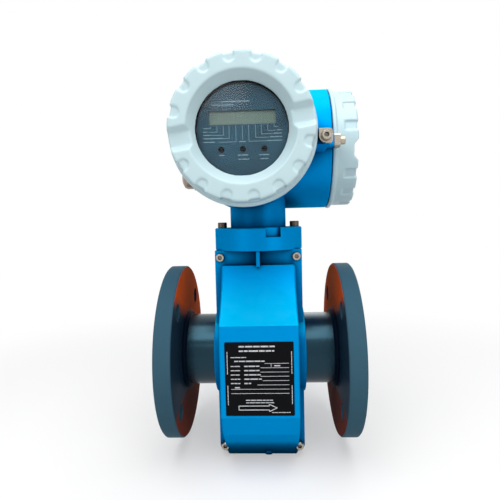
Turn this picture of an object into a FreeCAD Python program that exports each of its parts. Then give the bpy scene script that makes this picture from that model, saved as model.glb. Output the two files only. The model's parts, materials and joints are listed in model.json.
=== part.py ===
import FreeCAD, Part
import math
import os

# Compact electromagnetic flow meter, nominal size DN 65, in millimetres.
# X runs along the pipe in the direction of flow, the front faces -Y and +Z is up.
# The origin is on the pipe axis, midway between the two flange faces.

V = FreeCAD.Vector
X_AXIS = V(1, 0, 0)
Y_AXIS = V(0, 1, 0)
Z_AXIS = V(0, 0, 1)
FRONT = V(0, -1, 0)

# Measuring tube, flanges and liner
face_to_face = 200.0
flange_diameter = 185.0
flange_thickness = 17.0
bolt_circle = 145.0
bolt_hole = 18.0
bolt_count = 4
tube_diameter = 76.1
tube_wall = 2.9
liner_thickness = 2.15
flare_diameter = 122.0
flare_thickness = 2.0
weld_leg = 5.0
edge_break = 1.2
collar_clearance = 0.25

# Sensor housing: a base body that carries a narrower pod at the front and at the rear
body_width = 89.6
body_depth = 60.0
body_top = 111.0
body_bottom = -103.0
body_corner = 8.0
pod_width = 75.0
pod_face = 82.0
pod_face_top = 44.5
pod_face_bottom = -43.0
pod_shoulder = 38.0
pod_top = 96.0
pod_hollow = 5.5
pod_knee_depth = 71.0
pod_knee_height = -64.5
pod_foot = 25.0
pod_bottom = -109.0
pod_round = 2.5
shell_wall = 4.0
gasket = 1.0
collar_radius = 46.0
collar_length = 2.2
collar_round = 1.2
rib_thickness = 3.5
rib_depth = 14.0
tube_seal_width = 3.0
tube_seal_length = 4.0
plate_width = 64.0
plate_top = 29.5
plate_bottom = -40.5
plate_thickness = 0.5
plate_round = 1.0

# Screws that hold the shells together
shell_screw_edge = 5.6
shell_screw_top = 104.0
shell_screw_bottom = -96.0
shell_screw_size = 5.0
shell_screw_lug = 7.0
shell_screw_length = 45.0

# Small plug on the lower front slope
access_screw_x = 6.5
access_screw_rise = 6.8
access_screw_radius = 4.4
access_screw_height = 2.0

# Coils, poles and electrodes
coil_inner = 14.0
coil_outer = 27.0
coil_height = 8.0
coil_gap = 0.5
coil_lift = 2.5
pole_gap = 0.3
pole_boss_wall = 4.0
pole_thickness = 3.0
pole_length = 58.0
pole_half_angle = 42.0
yoke_width = 30.0
yoke_thickness = 2.0
electrode_head = 5.0
electrode_stem = 2.0
electrode_reach = 13.0
insulator_wall = 1.4
insulator_collar = 3.0
insulator_brim = 2.5
nut_size = 8.0
nut_height = 3.2

# Neck block
neck_block_radius = 47.0
ring_height = 23.0
ring_wall = 3.2
ring_edge = 1.0
ring_hole_clearance = 0.5
seat_height = 10.0
foot_radius = 34.5
foot_thickness = 5.4
foot_clearance = 0.8
neck_radius = 30.0
swivel_gap = 0.3
ring_bolt_x = 39.3
ring_bolt_size = 6.0
ring_bolt_floor = 2.0
notch_width = 16.0
notch_height = 9.5
notch_depth = 5.5
notch_angles = (-70, 50, 170)
cable_way = 11.0
neck_seal_outer = 26.0
neck_seal_inner = 23.0
neck_seal_height = 2.0

# Transmitter head
head_clearance = 20.6
display_x = -9.5
terminal_y = 28.7
barrel_radius = 65.0
barrel_front = -85.0
barrel_rear = 50.0
barrel_round = 24.0
drum_radius = 65.0
drum_end = 77.0
drum_back = -60.0
drum_round = 1.6
drum_dome = 42.0
compartment_radius = 56.4
head_wall = 8.0
partition_y = -10.0
partition = 4.0
terminal_floor = 56.5
terminal_way_radius = 8.0
terminal_way_offset = 30.0

# Screw covers: the same casting twice, once with a window
cover_height = 26.5
cover_flange_radius = 66.0
cover_flange = 4.0
cover_radius = 62.7
cover_edge = 2.0
cover_break = 0.7
cover_plate = 4.0
rim_radius = 47.2
window_radius = 39.5
cone_depth = 9.0
skirt_gap = 0.4
skirt_wall = 4.0
cover_gap = 0.3
scoop_count = 16
scoop_radius = 5.0
scoop_reach = 9.8
scoop_length = 14.0
scoop_front_depth = 1.3
scoop_side_depth = 1.8
pattern_turn = 9.0
slot_half_width = 10.5
slot_half_floor = 5.8
slot_depth = 4.6
window_thickness = 5.0
window_lip = 4.0
window_rebate = 0.8
window_clearance = 0.1
retainer_thickness = 2.0
seal_size = 2.6
seal_offset = 5.0
thread_pitch = 2.0
cover_turns = 4.0
skirt_length = seal_offset + thread_pitch * cover_turns

# Local display
panel_gap = 1.0
panel_radius = 44.0
panel_thickness = 4.0
lcd_width = 58.0
lcd_height = 12.0
lcd_rise = 11.0
lcd_thickness = 3.0
lcd_border = 2.0
key_pitch = 18.8
key_drop = 16.0
key_radius = 2.4
key_travel = 0.8
key_clearance = 0.3
key_collar = 1.3
key_collar_height = 1.2
key_tail = 2.4
carrier_depth = 12.0
carrier_wall = 2.5
electronics_cover_thickness = 3.0
electronics_screw = 3.0
electronics_screw_length = 14.0
electronics_screw_aside = 2.5
electronics_screw_inset = 4.5

# Boards behind the display
board_thickness = 1.6
board_height = 78.0
board_pitch = 22.0
board_part_height = 4.5
cage_wall = 2.0
cage_side = 8.0
cage_window_border = 12.0
cage_lug_radius = 3.8

# Connections
terminal_base_radius = 44.0
terminal_base_thickness = 3.0
terminal_base_cut = -20.0
terminal_count = 8
terminal_pitch = 7.6
terminal_depth = 16.0
terminal_height = 10.0
terminal_screw = 2.2
terminal_screw_x = -3.0
terminal_screw_depth = 3.5
terminal_mouth_depth = 4.0
terminal_border = 3.6

# Clamps beside the covers
clamp_width = 11.8
clamp_height = 12.6
clamp_thickness = 6.0
clamp_gap = 0.5
clamp_setback = -1.0
display_clamp_drop = 6.0
terminal_clamp_drop = 2.3
clamp_screw_size = 5.0
clamp_screw_grip = 8.0
clamp_screw_clearance = 0.4
clamp_round = 2.5
clamp_lift = 0.3

# Cable entries
gland_spread = 27.7
gland_thread = 10.0
gland_hex = 24.0
gland_cap_radius = 12.4
gland_end = -85.5
gland_flange = 4.0
gland_nose = 9.0
gland_stem = 10.0
gland_dome = 4.5
gland_seat_depth = 5.0
gland_boss_radius = 13.4
gland_bore = 6.0
gland_mouth = 6.9
gland_lip = 2.0

# Outside earth terminal
ground_screw_size = 5.0
ground_screw_length = 6.0
ground_screw_x = 40.0
ground_boss_height = 3.0
ground_boss_radius = 6.5


def box(low, high):
    """A block between two opposite corners."""
    size = V(*high) - V(*low)
    return Part.makeBox(size.x, size.y, size.z, V(*low))


def rod(radius, length, start, axis):
    """A round bar from start along axis."""
    return Part.makeCylinder(radius, length, V(*start), axis)


def ring(outer, inner, length, start, axis):
    """A round sleeve from start along axis."""
    return rod(outer, length, start, axis).cut(rod(inner, length, start, axis))


def placed(shape, origin, axis):
    """The shape, drawn about Z at the origin, moved so that its Z points along axis."""
    moved = shape.copy()
    moved.Placement = FreeCAD.Placement(V(*origin), FreeCAD.Rotation(Z_AXIS, axis))
    return moved


def turned(profile, origin=(0, 0, 0), axis=Z_AXIS):
    """A solid of revolution from (radius, along) points."""
    points = [V(radius, 0, along) for radius, along in profile]
    face = Part.Face(Part.makePolygon(points + points[:1]))
    return placed(face.revolve(V(0, 0, 0), Z_AXIS, 360), origin, axis)


def hexagon(across_flats, length, start, axis):
    """A hexagonal bar from start along axis."""
    radius = across_flats / math.sqrt(3)
    corners = [V(radius * math.cos(math.radians(60 * k)), radius * math.sin(math.radians(60 * k)), 0)
               for k in range(6)]
    face = Part.Face(Part.makePolygon(corners + corners[:1]))
    return placed(face.extrude(V(0, 0, length)), start, axis)


def socket_screw(size, length, start, axis):
    """A socket-head screw whose head sits on start, with its stem against axis."""
    head = turned([(0, 0), (size * 0.83, 0), (size * 0.83, size * 0.9), (size * 0.75, size), (0, size)])
    stem = rod(size / 2, length, (0, 0, -length), Z_AXIS)
    socket = hexagon(size * 0.83, size * 0.5, (0, 0, size * 0.5), Z_AXIS)
    return placed(head.fuse(stem).cut(socket), start, axis)


def turned_about(shape, angle, centre, axis):
    """A copy of the shape turned about a line."""
    copy = shape.copy()
    copy.rotate(V(*centre), axis, angle)
    return copy


def slab(y_low, y_high):
    """A block that holds everything between two planes across Y."""
    reach = 400.0
    return box((-reach, y_low, -reach), (reach, y_high, reach))


# ---------------------------------------------------------------- measuring tube

tube_radius = tube_diameter / 2
tube_inner = tube_radius - tube_wall
bore_radius = tube_inner - liner_thickness
flange_face = face_to_face / 2 - flare_thickness
flange_back = flange_face - flange_thickness


def electrode_holes(radius):
    """Four radial holes for the electrodes, at the sides, the top and the bottom."""
    across = rod(radius, 2 * tube_diameter, (0, -tube_diameter, 0), Y_AXIS)
    upright = rod(radius, 2 * tube_diameter, (0, 0, -tube_diameter), Z_AXIS)
    return across.fuse(upright)


def measuring_tube():
    tube = ring(tube_radius, tube_inner, 2 * flange_face, (-flange_face, 0, 0), X_AXIS)
    return tube.cut(electrode_holes(electrode_stem + insulator_wall))


def flange(side):
    """A flat flange with its fillet weld, drawn from the back face outwards."""
    radius = flange_diameter / 2
    profile = [
        (tube_radius, -weld_leg),
        (tube_radius, flange_thickness),
        (radius - edge_break, flange_thickness),
        (radius, flange_thickness - edge_break),
        (radius, edge_break),
        (radius - edge_break, 0),
        (tube_radius + weld_leg, 0),
    ]
    body = turned(profile)
    for k in range(bolt_count):
        angle = math.radians(360.0 * (k + 0.5) / bolt_count)
        centre = (bolt_circle / 2 * math.cos(angle), bolt_circle / 2 * math.sin(angle), 0)
        body = body.cut(rod(bolt_hole / 2, flange_thickness, centre, Z_AXIS))
    return placed(body, (side * flange_back, 0, 0), X_AXIS * side)


def liner():
    """The lining sleeve, flared over both flange faces."""
    half = face_to_face / 2
    flare = flare_diameter / 2
    profile = [
        (bore_radius, -half),
        (flare, -half),
        (flare, -flange_face),
        (tube_inner, -flange_face),
        (tube_inner, flange_face),
        (flare, flange_face),
        (flare, half),
        (bore_radius, half),
    ]
    return turned(profile, axis=X_AXIS).cut(electrode_holes(electrode_head))


def electrode(axis):
    """A stud whose head sits in the liner, level with the bore."""
    head_face = bore_radius + 0.05
    head = rod(electrode_head, tube_inner - head_face, (0, 0, head_face), Z_AXIS)
    curve = ring(2 * tube_radius, tube_inner, 4 * electrode_head, (-2 * electrode_head, 0, 0), X_AXIS)
    stem = rod(electrode_stem, tube_radius + electrode_reach - head_face, (0, 0, head_face), Z_AXIS)
    return placed(head.cut(curve).fuse(stem), (0, 0, 0), axis)


def insulator(axis):
    """A sleeve through the tube wall with a collar outside it."""
    outer = electrode_stem + insulator_wall
    sleeve = ring(outer, electrode_stem, tube_wall + insulator_collar, (0, 0, tube_inner), Z_AXIS)
    collar = ring(outer + insulator_brim, electrode_stem, insulator_collar, (0, 0, tube_radius), Z_AXIS)
    bore = rod(tube_inner, 8 * electrode_head, (-4 * electrode_head, 0, 0), X_AXIS)
    return placed(sleeve.fuse(collar).cut(bore), (0, 0, 0), axis)


def electrode_nut(axis):
    nut = hexagon(nut_size, nut_height, (0, 0, tube_radius + insulator_collar), Z_AXIS)
    hole = rod(electrode_stem, 2 * electrode_reach, (0, 0, tube_radius), Z_AXIS)
    return placed(nut.cut(hole), (0, 0, 0), axis)


def electrode_sides():
    """The four directions in which the electrodes stand."""
    return [FRONT, Y_AXIS, Z_AXIS, -Z_AXIS]


# ---------------------------------------------------------------- field coils

pole_radius = tube_radius + pole_gap
coil_base = pole_radius + pole_thickness + coil_lift
coil_start = coil_base + coil_gap
coil_top = coil_start + coil_height
yoke_radius = math.hypot(coil_top, coil_outer) + coil_gap


def pole_shoe(side):
    """A curved plate on the tube with a boss that carries the coil."""
    plate = ring(pole_radius + pole_thickness, pole_radius, pole_length, (-pole_length / 2, 0, 0), X_AXIS)
    reach = 2 * tube_radius
    half_width = (pole_radius + pole_thickness) * math.sin(math.radians(pole_half_angle))
    plate = plate.common(box((-reach, -half_width, 0), (reach, half_width, reach)))
    boss = ring(coil_inner - pole_gap, coil_inner - pole_boss_wall, yoke_radius, (0, 0, 0), Z_AXIS)
    boss = boss.cut(rod(pole_radius, 2 * reach, (-reach, 0, 0), X_AXIS))
    way = rod(coil_inner - pole_boss_wall, reach, (0, 0, 0), Z_AXIS)
    top = rod(yoke_radius, 2 * reach, (-reach, 0, 0), X_AXIS)
    return placed(plate.fuse(boss).cut(way).common(top), (0, 0, 0), Z_AXIS * side)


def coil(side):
    """A wound ring that sits on its pole shoe."""
    return ring(coil_outer, coil_inner, coil_height, (0, 0, side * coil_start), Z_AXIS * side)


def field_yoke():
    """A steel band that leads the field round the tube from pole to pole."""
    return ring(yoke_radius + yoke_thickness, yoke_radius, yoke_width, (-yoke_width / 2, 0, 0), X_AXIS)


# ---------------------------------------------------------------- sensor housing


def pod_profile(inset):
    """The pod's outline in the YZ plane, front and rear, with all faces moved in by inset."""
    face = pod_face - inset
    top = pod_top - inset
    bottom = pod_bottom + inset
    shoulder = V(0, -pod_shoulder, top)
    brow = V(0, -face, pod_face_top - inset * 0.6)
    chord = brow - shoulder
    inward = V(0, -chord.z, chord.y)
    inward.normalize()
    hollow = shoulder + chord * 0.5 + inward * pod_hollow
    chin = V(0, -face, pod_face_bottom + inset * 0.4)
    knee = V(0, -(pod_knee_depth - inset), pod_knee_height + inset * 0.4)
    foot = V(0, -(pod_foot - inset * 0.4), bottom)
    front = [
        Part.makeLine(V(0, 0, top), shoulder),
        Part.Arc(shoulder, hollow, brow).toShape(),
        Part.makeLine(brow, chin),
        Part.makeLine(chin, knee),
        Part.makeLine(knee, foot),
        Part.makeLine(foot, V(0, 0, bottom)),
    ]
    rear = [edge.mirror(V(0, 0, 0), Y_AXIS) for edge in front]
    edges = Part.__sortEdges__(front + rear)
    return Part.Wire(edges)


def pod(inset):
    """The pods as one bar across X, made in by inset on every side."""
    half = pod_width / 2 - inset
    face = Part.Face(pod_profile(inset))
    bar = face.extrude(V(2 * half, 0, 0))
    bar.translate(V(-half, 0, 0))
    return bar


def rounded_pod():
    """The pod bar with its long outline edges rounded."""
    bar = pod(0)
    half = pod_width / 2
    outline = [edge for edge in bar.Edges
               if abs(abs(edge.CenterOfMass.x) - half) < 0.01 and abs(edge.CenterOfMass.y) > 1.0]
    return bar.makeFillet(pod_round, outline)


def base_body():
    """The body that carries both pods, with rounded corners seen from the front."""
    half = body_width / 2
    body = box((-half, -body_depth / 2, body_bottom), (half, body_depth / 2, body_top))
    corners = [edge for edge in body.Edges
               if abs(abs(edge.CenterOfMass.x) - half) < 0.01 and abs(edge.CenterOfMass.y) < 0.01
               and edge.CenterOfMass.z < 0]
    return body.makeFillet(body_corner, corners)


def pocket_ribs():
    """The upright rib in the pocket over each pod."""
    reach = body_depth / 2 + rib_depth
    return box((-rib_thickness / 2, -reach, pod_top - 1.0), (rib_thickness / 2, reach, body_top))


def housing_outside():
    half = body_width / 2 + collar_length
    collar = rod(collar_radius, 2 * half, (-half, 0, 0), X_AXIS)
    ends = [edge for edge in collar.Edges if abs(abs(edge.CenterOfMass.x) - half) < 0.01]
    collar = collar.makeFillet(collar_round, ends)
    neck_way = rod(neck_hole_radius(), body_depth, (0, 0, body_top - body_depth / 2), Z_AXIS)
    return base_body().fuse([rounded_pod(), collar, pocket_ribs()]).removeSplitter().cut(neck_way)


def neck_hole_radius():
    """The round hole in the top of the shells that locates the neck."""
    return neck_radius - shell_wall


def housing_inside():
    """The room for the coils, clear of the four corner lugs."""
    half = body_width / 2 - shell_wall
    deep = body_depth / 2 - shell_wall
    lug = 2 * shell_screw_lug
    low = shell_screw_bottom + lug
    high = shell_screw_top - lug
    return pod(shell_wall).fuse(box((-half, -deep, low), (half, deep, high)))


def housing_solid():
    """Both shells and the gasket as one hollow body."""
    reach = body_width
    body = housing_outside().cut(housing_inside())
    body = body.cut(rod(tube_radius + collar_clearance, 2 * reach, (-reach, 0, 0), X_AXIS))
    for side in (1, -1):
        body = body.cut(tube_seal_room(side))
    return body


def tube_seal_room(side):
    start = body_width / 2 + collar_length / 2 - tube_seal_length
    return rod(tube_radius + tube_seal_width, tube_seal_length, (side * start, 0, 0), X_AXIS * side)


def tube_seal(side):
    """A ring between the tube and the groove in the shells."""
    return tube_seal_room(side).cut(rod(tube_radius, 4 * body_width, (-2 * body_width, 0, 0), X_AXIS))


def shell_screw_places():
    heights = (shell_screw_top, shell_screw_bottom)
    x = body_width / 2 - shell_screw_edge
    return [(side * x, z) for z in heights for side in (-1, 1)]


def shell_screws():
    """Four socket-head screws from the front into the rear shell."""
    seat = -body_depth / 2
    return [socket_screw(shell_screw_size, shell_screw_length, (x, seat, z), FRONT)
            for x, z in shell_screw_places()]


def drilled_for_screws(shape):
    """Drills the screw holes and clears the pods round the screw heads, front and rear alike."""
    seat = body_depth / 2
    for x, z in shell_screw_places():
        shape = shape.cut(rod(shell_screw_size / 2, shell_screw_length, (x, -seat, z), Y_AXIS))
        for axis in (Y_AXIS, FRONT):
            shape = shape.cut(rod(shell_screw_size, pod_face, (x, axis.y * seat, z), axis))
    return shape


def shells():
    """The front shell, the rear shell and the gasket between them."""
    body = drilled_for_screws(housing_solid())
    reach = face_to_face
    front = body.common(slab(-reach, -gasket / 2)).cut(access_screw())
    rear = body.common(slab(gasket / 2, reach))
    between = body.common(slab(-gasket / 2, gasket / 2))
    return front, rear, between


def access_screw():
    """A small plug on the lower front slope, next to the bottom edge."""
    slope = V(0, -(pod_knee_depth - pod_foot), pod_knee_height - pod_bottom)
    slope.normalize()
    outward = V(0, -slope.z, slope.y)
    centre = V(access_screw_x, -pod_foot, pod_bottom) + slope * access_screw_rise
    stem = access_screw_radius * 0.45
    edge = access_screw_height * 0.4
    head = turned([
        (0, -shell_wall * 0.75),
        (stem, -shell_wall * 0.75),
        (stem, 0),
        (access_screw_radius, 0),
        (access_screw_radius, access_screw_height - edge),
        (access_screw_radius - edge, access_screw_height),
        (0, access_screw_height),
    ])
    return placed(head, tuple(centre), outward)


def nameplate():
    """A thin plate with rounded corners on the front face."""
    plate = box((-plate_width / 2, -pod_face - plate_thickness, plate_bottom),
                (plate_width / 2, -pod_face, plate_top))
    corners = [edge for edge in plate.Edges if abs(edge.Length - plate_thickness) < 0.01]
    return plate.makeFillet(plate_round, corners)


# ---------------------------------------------------------------- neck block

ring_top = body_top + ring_height
seat_top = body_top + seat_height
foot_bottom = seat_top + swivel_gap
foot_top = foot_bottom + foot_thickness


def sensor_neck():
    """The casting that stands on the shells and carries the foot of the head."""
    outer = neck_block_radius - ring_wall - swivel_gap
    disc = rod(outer, seat_height, (0, 0, body_top), Z_AXIS)
    spigot_length = body_top - pod_top
    spigot = rod(neck_hole_radius(), spigot_length, (0, 0, body_top - spigot_length), Z_AXIS)
    body = disc.fuse(spigot)
    body = body.cut(rod(cable_way, 2 * (spigot_length + seat_height), (0, 0, pod_top - seat_height), Z_AXIS))
    for side in (1, -1):
        place = (side * ring_bolt_x, 0, body_top + ring_bolt_floor)
        body = body.cut(rod(ring_bolt_size / 2, seat_height, place, Z_AXIS))
    return body.cut(neck_seal())


def neck_seal():
    start = (0, 0, seat_top - neck_seal_height)
    return ring(neck_seal_outer, neck_seal_inner, neck_seal_height, start, Z_AXIS)


def bayonet_ring():
    """The ring that holds the foot of the head down on the neck."""
    over_disc = neck_block_radius - ring_wall
    over_foot = foot_radius + foot_clearance
    lid = foot_top + swivel_gap
    hole = neck_radius + ring_hole_clearance
    profile = [
        (over_disc, body_top),
        (neck_block_radius, body_top),
        (neck_block_radius, ring_top - ring_edge),
        (neck_block_radius - ring_edge, ring_top),
        (hole, ring_top),
        (hole, lid),
        (over_foot, lid),
        (over_foot, foot_bottom),
        (over_disc, foot_bottom),
    ]
    body = turned(profile)
    for side in (1, -1):
        place = (side * ring_bolt_x, 0, foot_bottom)
        body = body.cut(rod(ring_bolt_size / 2, ring_height, place, Z_AXIS))
    tool = box((neck_block_radius - notch_depth, -notch_width / 2, ring_top - notch_height),
               (2 * neck_block_radius, notch_width / 2, 2 * ring_top))
    for angle in notch_angles:
        body = body.cut(turned_about(tool, angle, (0, 0, 0), Z_AXIS))
    return body


def ring_bolts():
    """Two hexagon socket bolts that lock the bayonet ring."""
    stem = ring_height - ring_bolt_floor
    return [socket_screw(ring_bolt_size, stem, (side * ring_bolt_x, 0, ring_top), Z_AXIS)
            for side in (-1, 1)]


# ---------------------------------------------------------------- transmitter head

head_height = ring_top + head_clearance + drum_radius
display_centre = (display_x, barrel_front, head_height)
terminal_centre = (drum_end, terminal_y, head_height)


def barrel():
    """The drum behind the display cover, rounded at its back edge."""
    body = rod(barrel_radius, barrel_rear - barrel_front, display_centre, Y_AXIS)
    back = [edge for edge in body.Edges if abs(edge.CenterOfMass.y - barrel_rear) < 0.01]
    return body.makeFillet(barrel_round, back)


def drum(inset, end):
    """The drum along X up to end, with a domed blind end and its faces moved in by inset."""
    back = drum_back + inset
    body = rod(drum_radius - inset, end - back, (back, terminal_y, head_height), X_AXIS)
    blind = [edge for edge in body.Edges if abs(edge.CenterOfMass.x - back) < 0.01]
    return body.makeFillet(drum_dome - inset, blind)


def drum_outside():
    """The outer form of the connection compartment, with its rim broken."""
    body = drum(0, drum_end)
    rim = [edge for edge in body.Edges if abs(edge.CenterOfMass.x - drum_end) < 0.01]
    return body.makeFillet(drum_round, rim)


def head_outside():
    foot = rod(foot_radius, foot_thickness, (0, 0, foot_bottom), Z_AXIS)
    neck = rod(neck_radius, head_height - foot_bottom, (0, 0, foot_bottom), Z_AXIS)
    entries = [gland_boss(z) for z in gland_heights()]
    body = barrel()
    bosses = [display_clamp_boss(), terminal_clamp_boss(), ground_boss()]
    for lump in [drum_outside(), foot, neck] + bosses + entries:
        body = body.fuse(lump)
    return body


def head_inside():
    """The electronics compartment, the connection compartment and the ways between them."""
    front_depth = partition_y - barrel_front
    electronics = rod(compartment_radius, front_depth, display_centre, Y_AXIS)
    mouth = rod(compartment_radius, drum_end - terminal_floor,
                (terminal_floor, terminal_y, head_height), X_AXIS)
    rear_start = partition_y + partition
    rear = rod(barrel_radius - head_wall, barrel_rear - head_wall - rear_start,
               (display_x, rear_start, head_height), Y_AXIS)
    link = drum(head_wall, terminal_floor - partition).common(slab(rear_start, 4 * drum_radius))
    way = rod(terminal_way_radius, 2 * partition,
              (terminal_floor - 1.5 * partition, terminal_y - terminal_way_offset, head_height), X_AXIS)
    return electronics.fuse([mouth, rear, link, way])


def transmitter_housing():
    """The head casting with its foot, both compartments and the clamp bosses."""
    body = head_outside().cut(head_inside())
    way_length = head_height - 0.6 * barrel_radius - foot_bottom
    body = body.cut(rod(cable_way, way_length, (0, 0, foot_bottom), Z_AXIS))
    for z in gland_heights():
        body = body.cut(gland_hole(z)).cut(gland_spot_face(z))
    for screw in (display_clamp_screw(), terminal_clamp_screw(), ground_screw()):
        body = body.cut(screw)
    return body


# ---------------------------------------------------------------- screw covers


def skirt_radius():
    return compartment_radius - skirt_gap


def seal_groove(face):
    """The O-ring room in the cover's skirt, just behind the flange."""
    return ring(face + 5.0, face - seal_size + 0.2, seal_size, (0, 0, -seal_offset), Z_AXIS)


def cover_blank(opening):
    """The turned form of a cover, open for the window or closed, drawn from its seat along +Z."""
    outer = skirt_radius()
    inner = outer - skirt_wall
    top = cover_height
    base = top - cone_depth
    inside = base - window_thickness - retainer_thickness
    profile = [
        (outer, -skirt_length),
        (outer, cover_gap),
        (cover_flange_radius - cover_break, cover_gap),
        (cover_flange_radius, cover_gap + cover_break),
        (cover_flange_radius, cover_flange),
        (cover_radius, cover_flange + cover_break),
        (cover_radius, top - cover_edge),
        (cover_radius - cover_edge * 0.3, top - cover_edge * 0.3),
        (cover_radius - cover_edge, top),
        (rim_radius, top),
        (window_radius, base),
    ]
    if opening:
        lip = window_radius + window_lip
        profile += [
            (window_radius, base - window_rebate),
            (lip, base - window_rebate),
            (lip, inside),
            (inner, inside),
        ]
    else:
        profile += [
            (0, base),
            (0, base - cover_plate),
            (window_radius, base - cover_plate),
            (inner, inside),
        ]
    profile.append((inner, -skirt_length))
    return turned(profile)


def scoop():
    """A round-nosed finger pocket that wraps over the front edge: shallow in front, longer at the side."""
    floor = cover_height - scoop_front_depth
    nose = cover_radius - scoop_reach + scoop_radius
    outside = cover_radius + scoop_radius
    above = cover_height + 1
    tip = rod(scoop_radius, above - floor, (nose, 0, floor), Z_AXIS)
    face = box((nose, -scoop_radius, floor), (outside, scoop_radius, above))
    side = box((cover_radius - scoop_side_depth, -scoop_radius, cover_height - scoop_length),
               (outside, scoop_radius, above))
    return tip.fuse([face, side])


def slot():
    """A wide grip slot with sloping sides across the front rim."""
    floor = cover_height - slot_depth
    above = cover_height + 1
    flare = slot_half_width + (slot_half_width - slot_half_floor) / slot_depth * (above - cover_height)
    points = [
        V(0, -slot_half_floor, floor),
        V(0, slot_half_floor, floor),
        V(0, flare, above),
        V(0, -flare, above),
    ]
    face = Part.Face(Part.makePolygon(points + points[:1]))
    tool = face.extrude(V(2 * cover_radius - window_radius, 0, 0))
    tool.translate(V(window_radius - scoop_front_depth, 0, 0))
    return tool


def cover(opening):
    """A screw cover with finger scoops and two opposite grip slots round its front edge."""
    body = cover_blank(opening)
    body = body.cut(seal_groove(skirt_radius()))
    for k in range(scoop_count):
        angle = pattern_turn + 360.0 * k / scoop_count
        tool = slot() if k % (scoop_count // 2) == 0 else scoop()
        body = body.cut(turned_about(tool, angle, (0, 0, 0), Z_AXIS))
    return body


def display_frame(shape):
    """Moves a piece drawn about Z at its seat to the display opening, facing the front."""
    upright = turned_about(shape, 90, (0, 0, 0), X_AXIS)
    upright.translate(V(*display_centre))
    return upright


def terminal_frame(shape):
    """Moves a piece drawn about Z at its seat to the connection opening, facing +X."""
    sideways = turned_about(turned_about(shape, 90, (0, 0, 0), X_AXIS), 90, (0, 0, 0), Z_AXIS)
    sideways.translate(V(*terminal_centre))
    return sideways


def window_seat():
    """Where the back of the window's lip lies, from the cover's seat."""
    return cover_height - cone_depth - window_rebate


def retainer_back():
    """Where the back of the window's retaining ring lies, from the cover's seat."""
    return cover_height - cone_depth - window_thickness - retainer_thickness


def display_window():
    thickness = window_thickness - window_rebate
    radius = window_radius + window_lip - window_clearance
    return rod(radius, thickness, (0, 0, window_seat() - thickness), Z_AXIS)


def window_retainer():
    radius = window_radius + window_lip - window_clearance
    return ring(radius, window_radius, retainer_thickness, (0, 0, retainer_back()), Z_AXIS)


def cover_seal():
    """An O-ring of eight-sided section in the skirt's groove."""
    outer = skirt_radius() + 0.1
    inner = skirt_radius() - seal_size + 0.2
    low = -seal_offset + 0.1
    high = -seal_offset + seal_size - 0.1
    cut = 0.7
    profile = [
        (inner, low + cut), (inner + cut, low), (outer - cut, low), (outer, low + cut),
        (outer, high - cut), (outer - cut, high), (inner + cut, high), (inner, high - cut),
    ]
    return turned(profile)


# ---------------------------------------------------------------- local display


def panel_front():
    """The panel's front face, from the cover's seat."""
    return retainer_back() - panel_gap


def key_places():
    return [(-key_pitch, -key_drop), (0, -key_drop), (key_pitch, -key_drop)]


def display_panel():
    """The printed front panel with its window for the digits and its key holes."""
    front = panel_front()
    disc = rod(panel_radius, panel_thickness, (0, 0, front - panel_thickness), Z_AXIS)
    half = lcd_width / 2
    low = lcd_rise - lcd_height / 2
    disc = disc.cut(box((-half, low, front - 2 * panel_thickness), (half, low + lcd_height, front + 1)))
    for x, y in key_places():
        place = (x, y, front - 2 * panel_thickness)
        disc = disc.cut(rod(key_radius + key_clearance, 3 * panel_thickness, place, Z_AXIS))
    return disc


def lcd_module():
    top = panel_front() - panel_thickness
    half = lcd_width / 2 + lcd_border
    high = lcd_height / 2 + lcd_border
    return box((-half, lcd_rise - high, top - lcd_thickness), (half, lcd_rise + high, top))


def key(place):
    """A round key with a collar behind the panel that keeps it in."""
    x, y = place
    front = panel_front()
    back = front - panel_thickness - key_tail
    stem = rod(key_radius, front + key_travel - back, (x, y, back), Z_AXIS)
    collar_start = front - panel_thickness - key_clearance - key_collar_height
    collar = rod(key_radius + key_collar, key_collar_height, (x, y, collar_start), Z_AXIS)
    return stem.fuse(collar)


def board_top():
    """The front of the display board, clear of the pressed keys."""
    return panel_front() - panel_thickness - key_tail - key_travel - key_clearance


def display_board():
    radius = panel_radius - carrier_wall - 0.5
    return rod(radius, board_thickness, (0, 0, board_top() - board_thickness), Z_AXIS)


def display_carrier():
    """A shallow cup that holds the panel and the display board."""
    top = panel_front() - panel_thickness
    cup = rod(panel_radius, carrier_depth, (0, 0, top - carrier_depth), Z_AXIS)
    floor = board_top() - board_thickness
    room = rod(panel_radius - carrier_wall, carrier_depth, (0, 0, floor), Z_AXIS)
    return cup.cut(room)


def electronics_cover():
    """The plate over the boards, with four screw holes."""
    top = panel_front() - panel_thickness - carrier_depth
    radius = compartment_radius - skirt_gap - skirt_wall - 1.0
    plate = rod(radius, electronics_cover_thickness, (0, 0, top - electronics_cover_thickness), Z_AXIS)
    depth = 2 * electronics_screw_length
    for x, y in electronics_screw_places():
        plate = plate.cut(rod(electronics_screw / 2 + 0.1, depth, (x, y, top - depth / 2), Z_AXIS))
    return plate


def electronics_screw_places():
    """Beside the corners of the board cage."""
    x = board_pitch + cage_side + electronics_screw_aside
    y = board_height / 2 - electronics_screw_inset
    return [(x, y), (-x, y), (-x, -y), (x, -y)]


def electronics_cover_screws():
    top = panel_front() - panel_thickness - carrier_depth
    return [display_frame(socket_screw(electronics_screw, electronics_screw_length, (x, y, top), Z_AXIS))
            for x, y in electronics_screw_places()]


def cage_bounds():
    """Half width, half height, back and front of the board cage, from the cover's seat."""
    front = panel_front() - panel_thickness - carrier_depth - electronics_cover_thickness
    back = -(partition_y - barrel_front)
    half_width = board_pitch + cage_side
    half_height = board_height / 2 + cage_wall
    return half_width, half_height, back, front


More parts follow.
